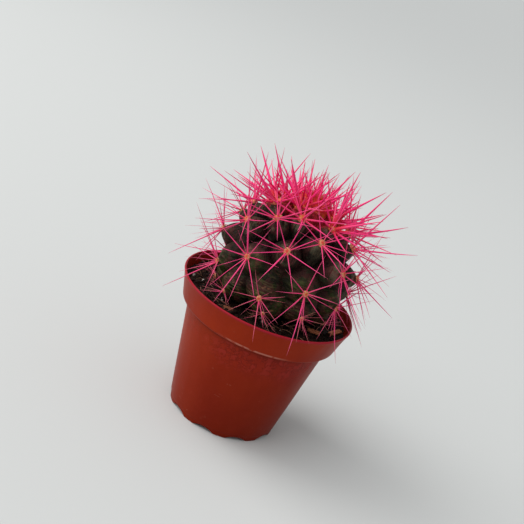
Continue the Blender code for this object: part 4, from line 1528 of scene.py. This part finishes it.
def sliver(length, width, height, rng):
    """A flat sliver of bark along +X with broken ends, as points and the grain at each.

    Its section is a squared-off oval, power 0.55 of cosine and sine. Its ends are cut by a
    ragged line, and its faces carry steps along the grain.
    """
    def rough(seed, *spot):
        """Noise at a spot given by its three parts."""
        return lattice_noise(np.stack(np.broadcast_arrays(*spot), -1), 1.0, seed)

    drops = np.linspace(-1, 1, SLIVER_ROWS)[:, None]
    turns = 2 * np.pi * np.arange(SLIVER_COLUMNS)[None] / SLIVER_COLUMNS
    cosine, sine = np.cos(turns), np.sin(turns)
    across = np.sign(cosine) * np.abs(cosine) ** 0.55
    upward = np.sign(sine) * np.abs(sine) ** 0.55
    taper = (1 - np.abs(drops) ** 6 * 0.25) * (1 - 0.12 * (drops + 1) * rng.uniform(-1, 1))
    shift = rng.uniform(0, 50)
    grain = rough(83, drops * 0.4 + shift, across * 6 + shift, upward * 2 + shift)
    ragged = 1 + 0.10 * rough(89, 9.0, across * 5 + 9, upward * 4 + 9)
    edge = 1 + 0.10 * rough(97, drops * 5, np.sign(cosine), 0.0)
    points = np.stack((
        drops * length / 2 * ragged,
        across * width / 2 * taper * edge,
        (upward + 1) * height / 2 * (1 + 0.16 * grain * (upward > 0)),
    ), -1)
    first, last = points[0].mean(axis=0), points[-1].mean(axis=0)
    return with_poles(first, points, last), np.concatenate(([0.5], (0.5 + 0.5 * grain).ravel(), [0.5]))


def make_chips(finish):
    """The slivers of bark, each lying where its solid lies and a little smaller."""
    chips = []
    for number, ((x, y, degrees, length, width), tone) in enumerate(zip(CHIPS, CHIP_TONES), 1):
        rng = np.random.default_rng(SEED + 20 + number)
        points, grain = sliver(length * 0.93, width * 0.92, CHIP_HEIGHT * 0.80, rng)
        spin = np.array(Matrix.Rotation(math.radians(degrees), 3, "Z"))
        points = points @ spin.T + (x, y, SOIL_LEVEL + GAP / 2)
        faces = closed_grid(SLIVER_ROWS, SLIVER_COLUMNS)
        traits = {"grain": grain, "tone": np.full(len(points), tone)}
        chip = new_piece(f"bark_sliver_{number}", points, *faces, finish, traits)
        chip.data.set_sharp_from_angle(angle=math.radians(45))
        chips.append(chip)
    return chips


# Stage


def make_floor():
    """A wide pale floor."""
    corners = [(x * FLOOR_HALF, y * FLOOR_HALF, 0.0) for x, y in ((-1, -1), (1, -1), (1, 1), (-1, 1))]
    mesh = bpy.data.meshes.new("floor")
    mesh.from_pydata(corners, [], [(0, 1, 2, 3)])
    mesh.materials.append(pale_floor())
    add_object("floor", mesh)


def add_light(name, kind, way, **settings):
    """A light that shines along a way."""
    light = bpy.data.lights.new(name, kind)
    for setting, value in settings.items():
        setattr(light, setting, value)
    item = add_object(name, light)
    item.rotation_euler = Vector(way).to_track_quat("-Z", "Y").to_euler()
    return item


def make_lights():
    """A window on the left, wide soft daylight from above on that side, and a pale room."""
    window = add_light(
        "window", "AREA", WINDOW_AIM - WINDOW_PLACE, size=1.0, energy=10.0, color=(1.0, 0.99, 0.97)
    )
    window.location = WINDOW_PLACE
    add_light("daylight", "SUN", (0.75, 0.30, -1.0), energy=1.8, angle=math.radians(70.0))
    world = bpy.data.worlds.new("room")
    world.use_nodes = True
    background = world.node_tree.nodes["Background"]
    background.inputs["Color"].default_value = (0.93, 0.95, 0.95, 1.0)
    background.inputs["Strength"].default_value = 0.60
    bpy.context.scene.world = world
    bpy.context.scene.view_settings.view_transform = "Standard"


def make_camera():
    """The camera, from its elevation, its roll, its distance and the pixel of its aim point.

    The aim point is seen off the image's centre: its ray in camera space is its pixel's
    offset over the focal length. The camera is swung until that ray meets the aim point.
    """
    off_x = (AIM_PIXEL[0] - IMAGE_SIZE / 2) / FOCAL_PIXELS
    off_y = (IMAGE_SIZE / 2 - AIM_PIXEL[1]) / FOCAL_PIXELS
    toward = Vector((0.0, -math.cos(CAMERA_ELEVATION), math.sin(CAMERA_ELEVATION)))
    level = (-toward).to_track_quat("-Z", "Y")
    roll = Quaternion((0.0, 0.0, 1.0), CAMERA_ROLL)
    swing = Vector((off_x, off_y, -1.0)).rotation_difference(Vector((0.0, 0.0, -1.0)))
    data = bpy.data.cameras.new("camera")
    data.sensor_width = SENSOR_WIDTH
    data.lens = FOCAL_PIXELS / IMAGE_SIZE * SENSOR_WIDTH
    data.clip_start = 0.01
    camera = add_object("camera", data)
    place = AIM_POINT + toward * CAMERA_DISTANCE
    camera.matrix_world = Matrix.Translation(place) @ (level @ roll @ swing).to_matrix().to_4x4()
    bpy.context.scene.camera = camera


def main():
    """Make every piece with its finish and the node it stands for, the stage and the camera."""
    places = areole_places()
    soil = peat()
    wool = areole_wool()
    pieces = [
        (make_pot(terracotta_plastic()), "terracotta_plastic", "pot"),
        (make_soil(soil), "peat", "soil"),
        (make_stem(places, stem_skin()), "stem_skin", "cactus"),
        (make_spines(places, dyed_spine()), "dyed_spine", "cactus"),
        (make_areole_wool(places, wool), "areole_wool", "cactus"),
        (make_crown_wool(wool), "areole_wool", "cactus"),
        (make_crumbs(soil), "peat", None),
        (make_fibres(dry_fibre()), "dry_fibre", None),
        (make_grit(grit()), "grit", None),
    ]
    for number, chip in enumerate(make_chips(bark()), 1):
        pieces.append((chip, "bark", f"bark_chip_{number}"))
    for piece, slot, node in pieces:
        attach(piece, "root")
        if node:
            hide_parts(node)
    make_floor()
    make_lights()
    make_camera()


main()
